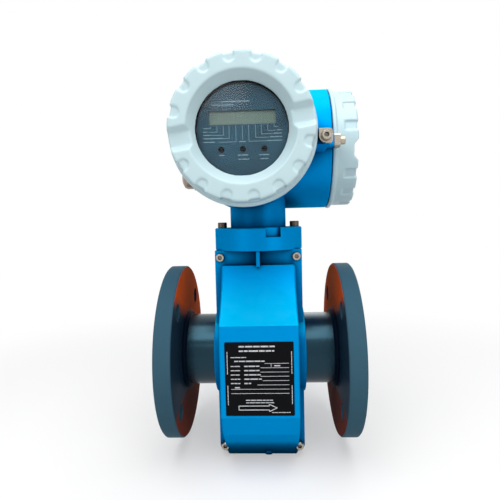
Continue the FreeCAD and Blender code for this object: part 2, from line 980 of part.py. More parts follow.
def board_cage():
    """The frame with slots in which the three boards stand, fixed to the partition."""
    half_width, half_height, back, front = cage_bounds()
    frame = box((-half_width, -half_height, back), (half_width, half_height, front))
    inner = box((-half_width + cage_wall, -half_height + cage_wall, back + cage_wall),
                (half_width - cage_wall, half_height - cage_wall, front + 1))
    border = cage_window_border
    windows = box((-half_width - 1, -half_height + border, back + border),
                  (half_width + 1, half_height - border, front - border * 0.7))
    frame = frame.cut(inner).cut(windows)
    lugs = [rod(cage_lug_radius, front - back, (x, y, back), Z_AXIS) for x, y in electronics_screw_places()]
    frame = frame.fuse(lugs).removeSplitter()
    for x, y in electronics_screw_places():
        depth = electronics_screw_length - electronics_cover_thickness + 0.5
        frame = frame.cut(rod(electronics_screw / 2, depth, (x, y, front - depth), Z_AXIS))
    return frame


def board(place):
    """A printed board that stands in the cage, with its largest components."""
    half_width, half_height, back, front = cage_bounds()
    x = place * board_pitch
    low = back + cage_wall
    high = front - board_thickness / 2
    plate = box((x - board_thickness / 2, -board_height / 2, low),
                (x + board_thickness / 2, board_height / 2, high))
    face = x + board_thickness / 2
    middle = (low + high) / 2
    unit = board_height / 8
    tall = board_part_height
    parts = [
        box((face, -2.7 * unit, middle - unit), (face + tall, -0.8 * unit, middle + unit)),
        box((face, 0.4 * unit, middle - unit), (face + 0.7 * tall, 1.8 * unit, middle + 1.3 * unit)),
        rod(0.4 * unit, tall, (face, 2.8 * unit, middle), X_AXIS),
    ]
    return plate.fuse(parts)


# ---------------------------------------------------------------- connection compartment


def terminal_floor_depth():
    """From the cover's seat down to the floor of the connection compartment."""
    return drum_end - terminal_floor


def terminal_base():
    """The moulded plate on the floor of the connection compartment, cut off on one side."""
    floor = -terminal_floor_depth()
    radius = terminal_base_radius
    plate = rod(radius, terminal_base_thickness, (0, 0, floor), Z_AXIS)
    return plate.cut(box((-2 * radius, -radius, floor - 1), (terminal_base_cut, radius, 0)))


def terminal_places():
    """The middle of each terminal along the strip."""
    first = -terminal_pitch * (terminal_count - 1) / 2
    return [first + terminal_pitch * k for k in range(terminal_count)]


def terminal_top():
    return terminal_base_thickness + terminal_height - terminal_floor_depth()


def terminal_strip():
    """One block of screw terminals, with the wire mouths on its side."""
    base = terminal_top() - terminal_height
    half = terminal_depth / 2
    reach = terminal_places()[-1] + terminal_pitch / 2 + terminal_border
    block = box((-half, -reach, base), (half, reach, terminal_top()))
    for y in terminal_places():
        start = (terminal_screw_x, y, terminal_top() - terminal_screw_depth)
        head_room = rod(terminal_screw, terminal_height, start, Z_AXIS)
        mouth = box((half - terminal_mouth_depth, y - terminal_screw, base + terminal_height * 0.2),
                    (half + 1, y + terminal_screw, base + terminal_height * 0.7))
        block = block.cut(head_room).cut(mouth)
    return block


def terminal_screws():
    """Slotted screws sunk in the strip."""
    floor = terminal_top() - terminal_screw_depth
    length = terminal_screw_depth * 0.75
    x = terminal_screw_x
    blade = terminal_screw * 0.2
    screws = []
    for y in terminal_places():
        head = rod(terminal_screw, length, (x, y, floor), Z_AXIS)
        slot_cut = box((x - 2 * terminal_screw, y - blade, floor + 0.7 * length),
                       (x + 2 * terminal_screw, y + blade, floor + 2 * length))
        screws.append(terminal_frame(head.cut(slot_cut)))
    return screws


# ---------------------------------------------------------------- cover clamps


def clamp_centre_radius():
    """From the cover's axis to the clamp screw."""
    return cover_flange_radius + clamp_gap + clamp_width / 2


def clamp(base):
    """A claw plate on its boss, drawn from the cover's seat along +Z, with the cover towards -X."""
    x = clamp_centre_radius()
    half = clamp_width / 2
    high = clamp_height / 2
    plate = box((x - half, -high, base), (x + half, high, base + clamp_thickness))
    away = [edge for edge in plate.Edges
            if abs(edge.CenterOfMass.x - (x + half)) < 0.01 and abs(edge.CenterOfMass.y) > high - 0.01
            and abs(edge.Length - clamp_thickness) < 0.01]
    plate = plate.makeFillet(clamp_round, away)
    below = base - clamp_thickness
    sweep = box((x - 2 * half, -2 * high, below), (x, 0, base + 2 * clamp_thickness))
    sweep = sweep.cut(rod(half, 4 * clamp_thickness, (x, 0, below), Z_AXIS))
    hole = rod(clamp_screw_size / 2 + clamp_screw_clearance, 4 * clamp_thickness, (x, 0, below), Z_AXIS)
    return plate.cut(sweep).cut(hole)


def clamp_screw(base):
    """The socket-head screw that holds the claw on its boss."""
    head_seat = base + clamp_thickness + clamp_lift
    length = clamp_thickness + 2 * clamp_lift + clamp_screw_grip
    return socket_screw(clamp_screw_size, length, (clamp_centre_radius(), 0, head_seat), Z_AXIS)


def clamp_boss(depth, height):
    """A block cast on the head that carries the clamp, rooted in the wall below the cover's seat."""
    outer = clamp_centre_radius() + clamp_width / 2
    root = compartment_radius + head_wall / 4
    block = box((root, -height / 2, clamp_setback - depth), (outer, height / 2, clamp_setback))
    away = [edge for edge in block.Edges
            if abs(edge.CenterOfMass.x - outer) < 0.01 and abs(edge.Length - depth) < 0.01]
    return block.makeFillet(clamp_round, away)


def beside_display(shape):
    """Moves a clamp piece to its place to the right of the display cover, a little under its middle."""
    shape.translate(V(0, -display_clamp_drop, 0))
    return display_frame(shape)


def display_clamp_boss():
    """The boss runs back from the display cover's seat into the wall of the drum."""
    depth = terminal_y - drum_radius + head_wall - barrel_front
    return beside_display(clamp_boss(depth, clamp_height))


def display_clamp():
    return beside_display(clamp(clamp_setback + clamp_lift))


def display_clamp_screw():
    return beside_display(clamp_screw(clamp_setback + clamp_lift))


def beside_terminal(shape):
    """Moves a clamp piece to the front side of the connection cover, a little under its middle."""
    turned_round = turned_about(shape, 180, (0, 0, 0), Z_AXIS)
    turned_round.translate(V(0, -terminal_clamp_drop, 0))
    return terminal_frame(turned_round)


def terminal_clamp_boss():
    return beside_terminal(clamp_boss(clamp_width, clamp_height))


def terminal_clamp():
    return beside_terminal(clamp(clamp_setback + clamp_lift))


def terminal_clamp_screw():
    return beside_terminal(clamp_screw(clamp_setback + clamp_lift))


# ---------------------------------------------------------------- cable entries


def gland_heights():
    return [head_height - gland_spread, head_height + gland_spread]


def gland_seat():
    """Where the entry bosses end, on the side away from the connection compartment."""
    return display_x - barrel_radius + gland_seat_depth


def gland_boss(z):
    return rod(gland_boss_radius, barrel_radius / 2, (gland_seat(), terminal_y, z), X_AXIS)


def gland_spot_face(z):
    """The flat milled into the head for the gland's hexagon."""
    return rod(gland_boss_radius + gland_lip, barrel_radius, (gland_seat(), terminal_y, z), -X_AXIS)


def gland_hole(z):
    return rod(gland_thread, 0.6 * barrel_radius, (gland_seat(), terminal_y, z), X_AXIS)


def gland_body(z):
    """A threaded body with a hexagon that lies on the boss."""
    seat = gland_seat()
    start = (seat, terminal_y, z)
    stem = rod(gland_thread, gland_stem, start, X_AXIS)
    nose_length = seat - gland_flange - gland_end - gland_lip
    nose = rod(gland_nose, nose_length, (seat - gland_flange, terminal_y, z), -X_AXIS)
    bore = rod(gland_bore, barrel_radius, (seat + 2 * gland_stem, terminal_y, z), -X_AXIS)
    return hexagon(gland_hex, gland_flange, start, -X_AXIS).fuse(stem).fuse(nose).cut(bore)


def gland_cap(z):
    """The domed cap nut of the gland."""
    length = gland_seat() - gland_flange - gland_end
    profile = [
        (gland_nose, 0),
        (gland_cap_radius, 0),
        (gland_cap_radius, length - gland_dome),
        (gland_cap_radius * 0.9, length - gland_dome / 3),
        (gland_cap_radius * 0.66, length),
        (gland_mouth + 0.1, length),
        (gland_mouth + 0.1, length - gland_lip),
        (gland_nose, length - gland_lip),
    ]
    return turned(profile, (gland_seat() - gland_flange, terminal_y, z), -X_AXIS)


def gland_plug(z):
    """The plug that closes an unused gland."""
    length = gland_seat() - gland_end
    lip = length - gland_lip
    proud = length + gland_lip * 0.3
    profile = [
        (0, -gland_bore),
        (gland_bore, -gland_bore),
        (gland_bore, lip),
        (gland_mouth, lip),
        (gland_mouth, proud),
        (0, proud),
    ]
    return turned(profile, (gland_seat(), terminal_y, z), -X_AXIS)


def ground_boss():
    start = (ground_screw_x, terminal_y + drum_radius - head_wall / 2, head_height)
    return rod(ground_boss_radius, head_wall / 2 + ground_boss_height, start, Y_AXIS)


def ground_screw():
    """The outside earth terminal at the back of the drum."""
    seat = (ground_screw_x, terminal_y + drum_radius + ground_boss_height, head_height)
    return socket_screw(ground_screw_size, ground_screw_length, seat, Y_AXIS)


# ---------------------------------------------------------------- all pieces


def pieces():
    """Every node by name, as one shape or a list of like solids."""
    front_shell, rear_shell, between = shells()
    sides = electrode_sides()
    left, centre, right = key_places()
    return {
        "measuring_tube": measuring_tube(),
        "inlet_flange": flange(-1),
        "outlet_flange": flange(1),
        "liner": liner(),
        "electrode_front": electrode(sides[0]),
        "electrode_rear": electrode(sides[1]),
        "level_electrode": electrode(sides[2]),
        "reference_electrode": electrode(sides[3]),
        "electrode_insulators": [insulator(side) for side in sides],
        "electrode_nuts": [electrode_nut(side) for side in sides],
        "pole_shoe_upper": pole_shoe(1),
        "pole_shoe_lower": pole_shoe(-1),
        "coil_upper": coil(1),
        "coil_lower": coil(-1),
        "field_yoke": field_yoke(),
        "shell_front": front_shell,
        "shell_rear": rear_shell,
        "shell_gasket": between,
        "shell_screws": shell_screws(),
        "tube_seal_inlet": tube_seal(-1),
        "tube_seal_outlet": tube_seal(1),
        "nameplate": nameplate(),
        "access_screw": access_screw(),
        "sensor_neck": sensor_neck(),
        "neck_seal": neck_seal(),
        "bayonet_ring": bayonet_ring(),
        "ring_bolts": ring_bolts(),
        "transmitter_housing": transmitter_housing(),
        "display_cover": display_frame(cover(True)),
        "display_window": display_frame(display_window()),
        "window_retainer": display_frame(window_retainer()),
        "display_cover_seal": display_frame(cover_seal()),
        "terminal_cover": terminal_frame(cover(False)),
        "terminal_cover_seal": terminal_frame(cover_seal()),
        "display_panel": display_frame(display_panel()),
        "lcd_module": display_frame(lcd_module()),
        "key_left": display_frame(key(left)),
        "key_centre": display_frame(key(centre)),
        "key_right": display_frame(key(right)),
        "display_board": display_frame(display_board()),
        "display_carrier": display_frame(display_carrier()),
        "electronics_cover": display_frame(electronics_cover()),
        "electronics_cover_screws": electronics_cover_screws(),
        "board_cage": display_frame(board_cage()),
        "power_board": display_frame(board(-1)),
        "amplifier_board": display_frame(board(0)),
        "io_board": display_frame(board(1)),
        "terminal_base": terminal_frame(terminal_base()),
        "terminal_strip": terminal_frame(terminal_strip()),
        "terminal_screws": terminal_screws(),
        "display_clamp": display_clamp(),
        "display_clamp_screw": display_clamp_screw(),
        "terminal_clamp": terminal_clamp(),
        "terminal_clamp_screw": terminal_clamp_screw(),
        "cable_gland_bodies": [gland_body(z) for z in gland_heights()],
        "cable_gland_caps": [gland_cap(z) for z in gland_heights()],
        "cable_gland_plugs": [gland_plug(z) for z in gland_heights()],
        "ground_screw": ground_screw(),
    }


def write_parts():
    os.makedirs("parts", exist_ok=True)
    for name, shape in pieces().items():
        solids = shape if isinstance(shape, list) else [shape]
        whole = Part.makeCompound([solid for item in solids for solid in item.Solids])
        whole.exportStep("parts/" + name + ".step")
        print(name, len(whole.Solids), "solids,", round(whole.Volume), "mm3")


write_parts()
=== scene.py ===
"""The looks of a compact electromagnetic flow meter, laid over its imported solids.

The solids keep their place and form. This file paints them, prints the nameplate and the display panel,
cuts the threads of the screw covers, lays the weld beads, puts softly rounded castings in place of the
screw covers, and sets the floor, the lamps and the camera.
"""

import json
import math
import random

import bpy
from mathutils import Matrix, Vector


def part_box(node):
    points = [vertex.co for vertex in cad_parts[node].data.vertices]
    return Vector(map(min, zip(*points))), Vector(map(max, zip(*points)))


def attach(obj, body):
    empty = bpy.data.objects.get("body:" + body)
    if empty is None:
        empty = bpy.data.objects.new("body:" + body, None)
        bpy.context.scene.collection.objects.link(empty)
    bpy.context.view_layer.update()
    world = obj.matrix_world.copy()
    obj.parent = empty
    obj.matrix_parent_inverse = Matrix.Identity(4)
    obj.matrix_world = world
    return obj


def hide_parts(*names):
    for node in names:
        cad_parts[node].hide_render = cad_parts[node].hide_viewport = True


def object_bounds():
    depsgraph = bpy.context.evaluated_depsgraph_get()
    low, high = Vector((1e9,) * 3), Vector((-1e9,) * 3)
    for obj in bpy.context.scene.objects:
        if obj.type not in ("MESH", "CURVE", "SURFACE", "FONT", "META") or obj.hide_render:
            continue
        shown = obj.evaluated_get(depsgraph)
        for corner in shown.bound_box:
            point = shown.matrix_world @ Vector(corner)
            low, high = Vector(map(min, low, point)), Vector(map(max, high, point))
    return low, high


bl_info = {
    "name": "Flow meter finishes",
    "version": (1, 0, 0),
    "blender": (4, 5, 0),
    "location": "3D View > Sidebar > Flow meter",
    "description": "Paints, prints and lights a compact electromagnetic flow meter",
    "category": "Object",
}

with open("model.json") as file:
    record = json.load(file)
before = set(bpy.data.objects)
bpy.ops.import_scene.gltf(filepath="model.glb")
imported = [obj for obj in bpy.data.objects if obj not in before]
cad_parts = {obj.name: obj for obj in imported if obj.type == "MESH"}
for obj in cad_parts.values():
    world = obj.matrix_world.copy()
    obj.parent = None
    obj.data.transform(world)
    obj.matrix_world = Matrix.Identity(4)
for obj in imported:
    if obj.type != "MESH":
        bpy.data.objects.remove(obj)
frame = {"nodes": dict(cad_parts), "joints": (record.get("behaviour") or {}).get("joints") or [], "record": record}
CAD_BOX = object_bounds()
NODES = frame["nodes"]
RECORD = frame["record"]
MM = 0.001
WELD_FILLET = 5.0 * MM
FLANGE_BACK = min(abs(corner.x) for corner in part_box("outlet_flange")) + WELD_FILLET
TUBE_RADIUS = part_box("measuring_tube")[1].z
COVERS = ("display_cover", "terminal_cover")
BLACK = (0, 0, 0, 1)
WHITE = (1, 1, 1, 1)


# ---------------------------------------------------------------- places taken from the frame


def middle(node):
    low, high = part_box(node)
    return (low + high) / 2


def body_of_node(node):
    """The moving body that carries a node."""
    for body, members in RECORD["behaviour"]["bodies"].items():
        if node in members:
            return body
    raise ValueError(f"no body carries {node}")


def nodes_in_slot(slot):
    """The solids that take their finish from one material slot."""
    return [part["node"] for part in RECORD["subparts"] if part["material_slot"] == slot]


# ---------------------------------------------------------------- settings


def colour(red, green, blue):
    """A paint colour written in screen values from 0 to 255, as linear light."""

    def linear(value):
        share = value / 255
        return share / 12.92 if share <= 0.04045 else ((share + 0.055) / 1.055) ** 2.4

    return (linear(red), linear(green), linear(blue), 1.0)


def colour_setting(name, description, value):
    return bpy.props.FloatVectorProperty(
        name=name, description=description, default=value, size=4, subtype="COLOR", min=0.0, max=1.0
    )


def length_setting(name, description, value):
    return bpy.props.FloatProperty(
        name=name, description=description, default=value, min=0.0, unit="LENGTH", precision=5
    )


def factor_setting(name, description, value, top=1.0):
    return bpy.props.FloatProperty(name=name, description=description, default=value, min=0.0, max=top)


def angle_setting(name, description, degrees):
    return bpy.props.FloatProperty(
        name=name, description=description, default=math.radians(degrees), unit="ROTATION"
    )


class FlowPaintSettings(bpy.types.PropertyGroup):
    """Colours and gloss of the coats, metals and mouldings."""

    blue: colour_setting("Blue coat", "Powder coat of the housing and the head", colour(0, 142, 212))
    blue_sheen: colour_setting("Blue sheen", "Tint of the highlights on the blue coat", colour(0, 235, 255))
    # Edge wear and painted highlight: the lighter blue along the edges.
    blue_edge_worn_and_lit: colour_setting("Blue edge", "Where the blue coat is thin over an edge", colour(10, 165, 228))
    # Painted light: the paler blue that the faces looking up take, as if lit from above.
    blue_lit_top: colour_setting("Faded blue", "Blue paint on the faces that look up", colour(0, 186, 238))
    # Painted shade: the colour the blue coat darkens to in corners and under the head.
    blue_painted_shade: colour_setting("Deep blue", "Blue paint in corners and under the head", colour(0, 2, 54))
    blue_gloss: factor_setting("Blue roughness", "How soft the highlights on the blue coat are", 0.36)
    pale: colour_setting("Pale coat", "Powder coat of the screw covers", colour(184, 209, 215))
    # The tube's slate is darker than the rims' slate, partly as painted shade for the tube between the flanges and
    # the body.
    slate: colour_setting("Slate paint", "Paint of the measuring tube", colour(10, 22, 34))
    rim_slate: colour_setting("Rim paint", "Paint of the flange rims", colour(56, 88, 104))
    # Painted shade: the darker slate of the inner flange faces, which lie between the flanges and the body.
    inner_slate_shaded: colour_setting("Thin paint", "Paint of the inner flange faces", colour(10, 22, 36))
    # An orange-brown band on the inner flange faces, lighter high up and darker towards the bottom.
    inner_orange: colour_setting("Primer, upper", "Primer high on the inner flange faces", colour(255, 94, 0))
    inner_orange_low: colour_setting("Primer, lower", "Primer low on the inner flange faces", colour(120, 46, 20))
    fascia: colour_setting("Fascia", "Printed panel behind the window", colour(28, 66, 84))
    glass_grey: colour_setting("Display glass", "Resting colour of the liquid crystal", colour(92, 112, 104))
    plate: colour_setting("Nameplate", "Anodised nameplate", colour(3, 4, 7))
    ink: colour_setting("Plate ink", "Printing on the nameplate", colour(200, 202, 208))
    fascia_ink: colour_setting("Fascia ink", "Printing on the panel", colour(112, 140, 152))
    edge_radius: length_setting("Edge radius", "Softening of the coated edges", 0.7 * MM)


class FlowPrintSettings(bpy.types.PropertyGroup):
    """Sizes of the printing on the nameplate and the panel."""

    ink_height: length_setting("Ink height", "How proud the print stands", 0.05 * MM)
    rule_width: length_setting("Rule width", "Thickness of the ruled lines", 0.42 * MM)
    leader_width: length_setting("Leader width", "Thickness of the panel's leader lines", 0.38 * MM)
    arrow_width: length_setting("Arrow line", "Thickness of the flow arrow's outline", 0.75 * MM)


class FlowThreadSettings(bpy.types.PropertyGroup):
    """Threads and welds."""

    pitch: length_setting("Pitch", "Rise of the cover thread in one turn", 2.0 * MM)
    crest: length_setting("Crest", "Height of the cover thread over its skirt", 0.28 * MM)
    weld_radius: length_setting("Weld bead", "Radius of the weld bead's section", 2.4 * MM)
    weld_ripple: length_setting("Weld ripple", "Height of the ripples on the weld", 0.22 * MM)


class FlowStageSettings(bpy.types.PropertyGroup):
    """The camera, the lamps and the floor."""

    camera_place: bpy.props.FloatVectorProperty(
        name="Camera place", description="Where the camera stands", default=(0.01175, -0.47333, 0.14174),
        size=3, subtype="TRANSLATION",
    )
    yaw: angle_setting("Yaw", "Turn of the camera about the vertical", -2.591)
    pitch: angle_setting("Pitch", "How far the camera looks down", 3.938)
    roll: angle_setting("Roll", "Turn of the camera about its own axis", -1.409)
    lens: bpy.props.FloatProperty(
        name="Lens", description="Focal length on a 36 mm sensor", default=31.07, min=1.0, unit="CAMERA"
    )
    ceiling_power: factor_setting("Ceiling lamp", "Power of the wide lamp above the front", 22.0, 1000.0)
    right_power: factor_setting("Right lamp", "Power of the lamp at the front right", 4.2, 1000.0)
    left_power: factor_setting("Left lamp", "Power of the lamp at the front left", 3.2, 1000.0)
    back_power: factor_setting("Back lamp", "Power of the lamp behind", 4.0, 1000.0)
    strip_power: factor_setting("Strip lamp", "Power of the narrow lamp seen in the window", 0.4, 1000.0)
    ambient: factor_setting("Ambient", "Light from all round", 0.31, 10.0)
    floor: colour_setting("Floor", "Colour of the floor", (0.9, 0.9, 0.9, 1.0))
    floor_bounce: colour_setting("Floor bounce", "What the floor throws back", (0.58, 0.58, 0.58, 1.0))
    floor_near: length_setting("Floor near", "How far round the meter the floor takes shadow", 0.3)
    floor_glow: factor_setting("Floor glow", "How much of the shadow is washed out near the meter", 0.4)
    floor_far: length_setting("Floor far", "Where the floor has turned wholly white", 0.8)


# ---------------------------------------------------------------- shader tools


def feed(tree, socket, value):
    """Links a socket to another node's output, or sets it to a plain value."""
    if isinstance(value, bpy.types.NodeSocket):
        tree.links.new(value, socket)
    else:
        socket.default_value = value


def add(tree, kind, inputs=None, **settings):
    """Adds a shader node, sets its properties, and feeds its inputs by name or index."""
    node = tree.nodes.new(kind)
    for name, value in settings.items():
        setattr(node, name, value)
    for name, value in (inputs or {}).items():
        feed(tree, node.inputs[name], value)
    return node


def calculate(tree, operation, first, second=0.0, clamp=False):
    node = add(tree, "ShaderNodeMath", {0: first, 1: second}, operation=operation, use_clamp=clamp)
    return node.outputs[0]


def times(tree, first, second):
    return calculate(tree, "MULTIPLY", first, second)


def blend_colour(tree, share, first, second):
    node = add(tree, "ShaderNodeMix", {0: share, 6: first, 7: second}, data_type="RGBA")
    return node.outputs[2]


def toned(tree, tint, value):
    """A colour made lighter or darker."""
    return add(tree, "ShaderNodeHueSaturation", {"Color": tint, "Value": value}).outputs[0]


def ramp(tree, value, low, high, out_low=0.0, out_high=1.0):
    """A smooth step from low to high."""
    inputs = {"Value": value, "From Min": low, "From Max": high, "To Min": out_low, "To Max": out_high}
    node = add(tree, "ShaderNodeMapRange", inputs, interpolation_type="SMOOTHSTEP")
    return node.outputs["Result"]


def noise(tree, vector, scale, detail=2.0, roughness=0.5):
    inputs = {"Vector": vector, "Scale": scale, "Detail": detail, "Roughness": roughness}
    return add(tree, "ShaderNodeTexNoise", inputs).outputs[0]


def stretched(tree, vector, scale):
    return add(tree, "ShaderNodeMapping", {"Vector": vector, "Scale": scale}).outputs["Vector"]


def object_coordinates(tree):
    return add(tree, "ShaderNodeTexCoord").outputs["Object"]


def object_normal(tree):
    return add(tree, "ShaderNodeTexCoord").outputs["Normal"]


def split(tree, vector):
    return add(tree, "ShaderNodeSeparateXYZ", {"Vector": vector}).outputs


SOCKETS = {"value": "NodeSocketFloat", "colour": "NodeSocketColor", "vector": "NodeSocketVector"}


def new_group(name, inputs, outputs):
    """An empty node group with named sockets, or None if it exists already."""
    if name in bpy.data.node_groups:
        return None
    group = bpy.data.node_groups.new(name, "ShaderNodeTree")
    for socket, kind, value in inputs:
        made = group.interface.new_socket(name=socket, in_out="INPUT", socket_type=SOCKETS[kind])
        made.default_value = value
    for socket, kind in outputs:
        group.interface.new_socket(name=socket, in_out="OUTPUT", socket_type=SOCKETS[kind])
    return group


def use_group(tree, group, **inputs):
    """Places a node group in a tree and feeds its inputs."""
    node = tree.nodes.new("ShaderNodeGroup")
    node.node_tree = group
    for name, value in inputs.items():
        feed(tree, node.inputs[name], value)
    return node.outputs


def sprayed_coat():
    """Group: the faint orange peel and the uneven tone of a powder coat or sprayed paint."""
    name = "Sprayed coat"
    sockets = [("Colour", "colour", (1, 1, 1, 1)), ("Mottle", "value", 0.06), ("Grain", "value", 420.0),
               ("Roughness", "value", 0.3)]
    group = new_group(name, sockets, [("Colour", "colour"), ("Roughness", "value"), ("Height", "value")])
    if group:
        start = group.nodes.new("NodeGroupInput").outputs
        place = object_coordinates(group)
        cloud = noise(group, place, 22.0, 3.0)
        sway = calculate(group, "SUBTRACT", cloud, 0.5)
        value = calculate(group, "ADD", times(group, sway, start["Mottle"]), 1.0)
        tinted = toned(group, start["Colour"], value)
        peel = noise(group, place, start["Grain"], 1.5)
        rough = calculate(group, "ADD", start["Roughness"], times(group, sway, 0.16), clamp=True)
        add(group, "NodeGroupOutput", {"Colour": tinted, "Roughness": rough, "Height": peel})
    return bpy.data.node_groups[name]


def soft_edges():
    """Group: rounded edges, and a mask of where they are."""
    name = "Soft edges"
    group = new_group(name, [("Radius", "value", 0.0007)], [("Normal", "vector"), ("Edge", "value")])
    if group:
        start = group.nodes.new("NodeGroupInput").outputs
        rounded = add(group, "ShaderNodeBevel", {"Radius": start["Radius"]}, samples=6).outputs[0]
        flat = add(group, "ShaderNodeNewGeometry").outputs["True Normal"]
        agreement = add(group, "ShaderNodeVectorMath", {0: rounded, 1: flat}, operation="DOT_PRODUCT")
        bend = calculate(group, "SUBTRACT", 1.0, agreement.outputs["Value"])
        add(group, "NodeGroupOutput", {"Normal": rounded, "Edge": ramp(group, bend, 0.02, 0.2)})
    return bpy.data.node_groups[name]


def corner_shade():
    """Group: a mask of corners, recesses and faces close under other parts, for painted shade where little light
    comes.
    """
    name = "Packed grime"
    group = new_group(name, [("Reach", "value", 0.004)], [("Mask", "value")])
    if group:
        start = group.nodes.new("NodeGroupInput").outputs
        openness = add(group, "ShaderNodeAmbientOcclusion", {"Distance": start["Reach"]}, samples=8)
        add(group, "NodeGroupOutput", {"Mask": ramp(group, openness.outputs["AO"], 0.15, 0.75, 1.0, 0.0)})
    return bpy.data.node_groups[name]


def settled_dust():
    """Group: a thin uneven film on the faces that look up."""
    name = "Settled dust"
    group = new_group(name, [("Amount", "value", 0.2)], [("Mask", "value")])
    if group:
        start = group.nodes.new("NodeGroupInput").outputs
        up = ramp(group, split(group, object_normal(group))["Z"], 0.35, 1.0)
        patches = ramp(group, noise(group, object_coordinates(group), 90.0, 4.0), 0.35, 0.7)
        film = times(group, times(group, up, patches), start["Amount"])
        add(group, "NodeGroupOutput", {"Mask": film})
    return bpy.data.node_groups[name]


def drawn_grain():
    """Group: fine lines left by turning or brushing, along whichever axis is stretched least."""
    name = "Drawn grain"
    group = new_group(name, [("Scale", "vector", (40, 900, 900)), ("Roughness", "value", 0.3)],
                      [("Height", "value"), ("Roughness", "value"), ("Tone", "value")])
    if group:
        start = group.nodes.new("NodeGroupInput").outputs
        place = stretched(group, object_coordinates(group), start["Scale"])
        lines = noise(group, place, 1.0, 3.0, 0.6)
        smear = times(group, calculate(group, "SUBTRACT", lines, 0.5), 0.25)
        rough = calculate(group, "ADD", start["Roughness"], smear, clamp=True)
        add(group, "NodeGroupOutput",
            {"Height": lines, "Roughness": rough, "Tone": ramp(group, lines, 0.3, 0.7, 0.86, 1.06)})
    return bpy.data.node_groups[name]


def moulded_skin():
    """Group: the fine pebbled skin of mouldings and rubber."""
    name = "Moulded skin"
    group = new_group(name, [("Grain", "value", 1400.0)], [("Height", "value"), ("Tone", "value")])
    if group:
        start = group.nodes.new("NodeGroupInput").outputs
        place = object_coordinates(group)
        pebbles = noise(group, place, start["Grain"], 1.0)
        patches = noise(group, place, 60.0, 3.0)
        tone = ramp(group, patches, 0.3, 0.7, 0.85, 1.12)
        add(group, "NodeGroupOutput", {"Height": pebbles, "Tone": tone})
    return bpy.data.node_groups[name]


def new_material(name):
    material = bpy.data.materials.new(name)
    material.use_nodes = True
    tree = material.node_tree
    return material, tree, tree.nodes["Principled BSDF"]


def wire(tree, shader, **inputs):
    """Feeds the shader's inputs. Underscores in the names stand for spaces."""
    for name, value in inputs.items():
        feed(tree, shader.inputs[name.replace("_", " ")], value)


def bumped(tree, height, distance, strength, normal=None):
    inputs = {"Height": height, "Distance": distance, "Strength": strength}
    if normal is not None:
        inputs["Normal"] = normal
    return add(tree, "ShaderNodeBump", inputs).outputs["Normal"]


# ---------------------------------------------------------------- finishes


def powder_coat(name, paint, edge_worn_and_lit, roughness=0.42, mottle=0.05, radius=0.7 * MM, dust_amount=0.1,
                reach=3 * MM, depth=0.35, spread=1.0, shade_tint=BLACK, lit_top=None):
    """A coated casting: orange peel, painted light on the faces that look up, edges lightened for wear and
    painted highlight, painted shade in corners and under other parts, and a little dust.

    The painted shade darkens towards the shade colour over the given reach and depth. A spread below one
    lets it darken further out.
    """
    material, tree, shader = new_material(name)
    coat = use_group(tree, sprayed_coat(), Colour=paint, Mottle=mottle, Roughness=roughness)
    edges = use_group(tree, soft_edges(), Radius=radius)
    dust = use_group(tree, settled_dust(), Amount=dust_amount)
    painted_shade = use_group(tree, corner_shade(), Reach=reach)
    # Painted light: faces that look up are blended towards a paler colour, as if lit from above.
    up = ramp(tree, split(tree, object_normal(tree))["Z"], 0.4, 0.85)
    lit_from_above = blend_colour(tree, up, coat["Colour"], lit_top or paint)
    # Edge wear and painted highlight: the edges are blended halfway to a lighter colour.
    edges_worn_and_lit = blend_colour(tree, times(tree, edges["Edge"], 0.5), lit_from_above, edge_worn_and_lit)
    dusty = blend_colour(tree, dust["Mask"], edges_worn_and_lit, colour(196, 196, 190))
    # Painted shade: corners, recesses and faces under other parts darken towards the shade colour.
    shade = times(tree, calculate(tree, "POWER", painted_shade["Mask"], spread), depth)
    shaded = blend_colour(tree, shade, dusty, shade_tint)
    rough = calculate(tree, "ADD", coat["Roughness"], times(tree, dust["Mask"], 0.5), clamp=True)
    normal = bumped(tree, coat["Height"], 0.12 * MM, 0.35, edges["Normal"])
    wire(tree, shader, Base_Color=shaded, Roughness=rough, Normal=normal)
    return material


def orange_band(tree):
    """Masks on the flanges: where the orange-brown band lies, how high a point is, and which faces look inward."""
    spot = object_coordinates(tree)
    place = split(tree, spot)
    across = calculate(tree, "ABSOLUTE", place["X"])
    inner_face = ramp(tree, across, FLANGE_BACK - 0.2 * MM, FLANGE_BACK + 0.5 * MM, 1.0, 0.0)
    spoke = add(tree, "ShaderNodeVectorMath", {0: stretched(tree, spot, (0, 1, 1))}, operation="LENGTH")
    outside_weld = ramp(tree, spoke.outputs["Value"], TUBE_RADIUS + 3 * MM, TUBE_RADIUS + 8 * MM)
    waver = times(tree, noise(tree, spot, 40.0), 10 * MM)
    slant = times(tree, place["Y"], ramp(tree, place["Z"], -10 * MM, 10 * MM, 0.14, 0.42))
    off_axis = calculate(tree, "ADD", calculate(tree, "ABSOLUTE", place["Z"]), slant)
    from_axis = calculate(tree, "ADD", off_axis, waver)
    band = ramp(tree, from_axis, TUBE_RADIUS - 4 * MM, TUBE_RADIUS + 14 * MM)
    mask = times(tree, times(tree, inner_face, band), outside_weld)
    return mask, ramp(tree, place["Z"], -60 * MM, 40 * MM), inner_face


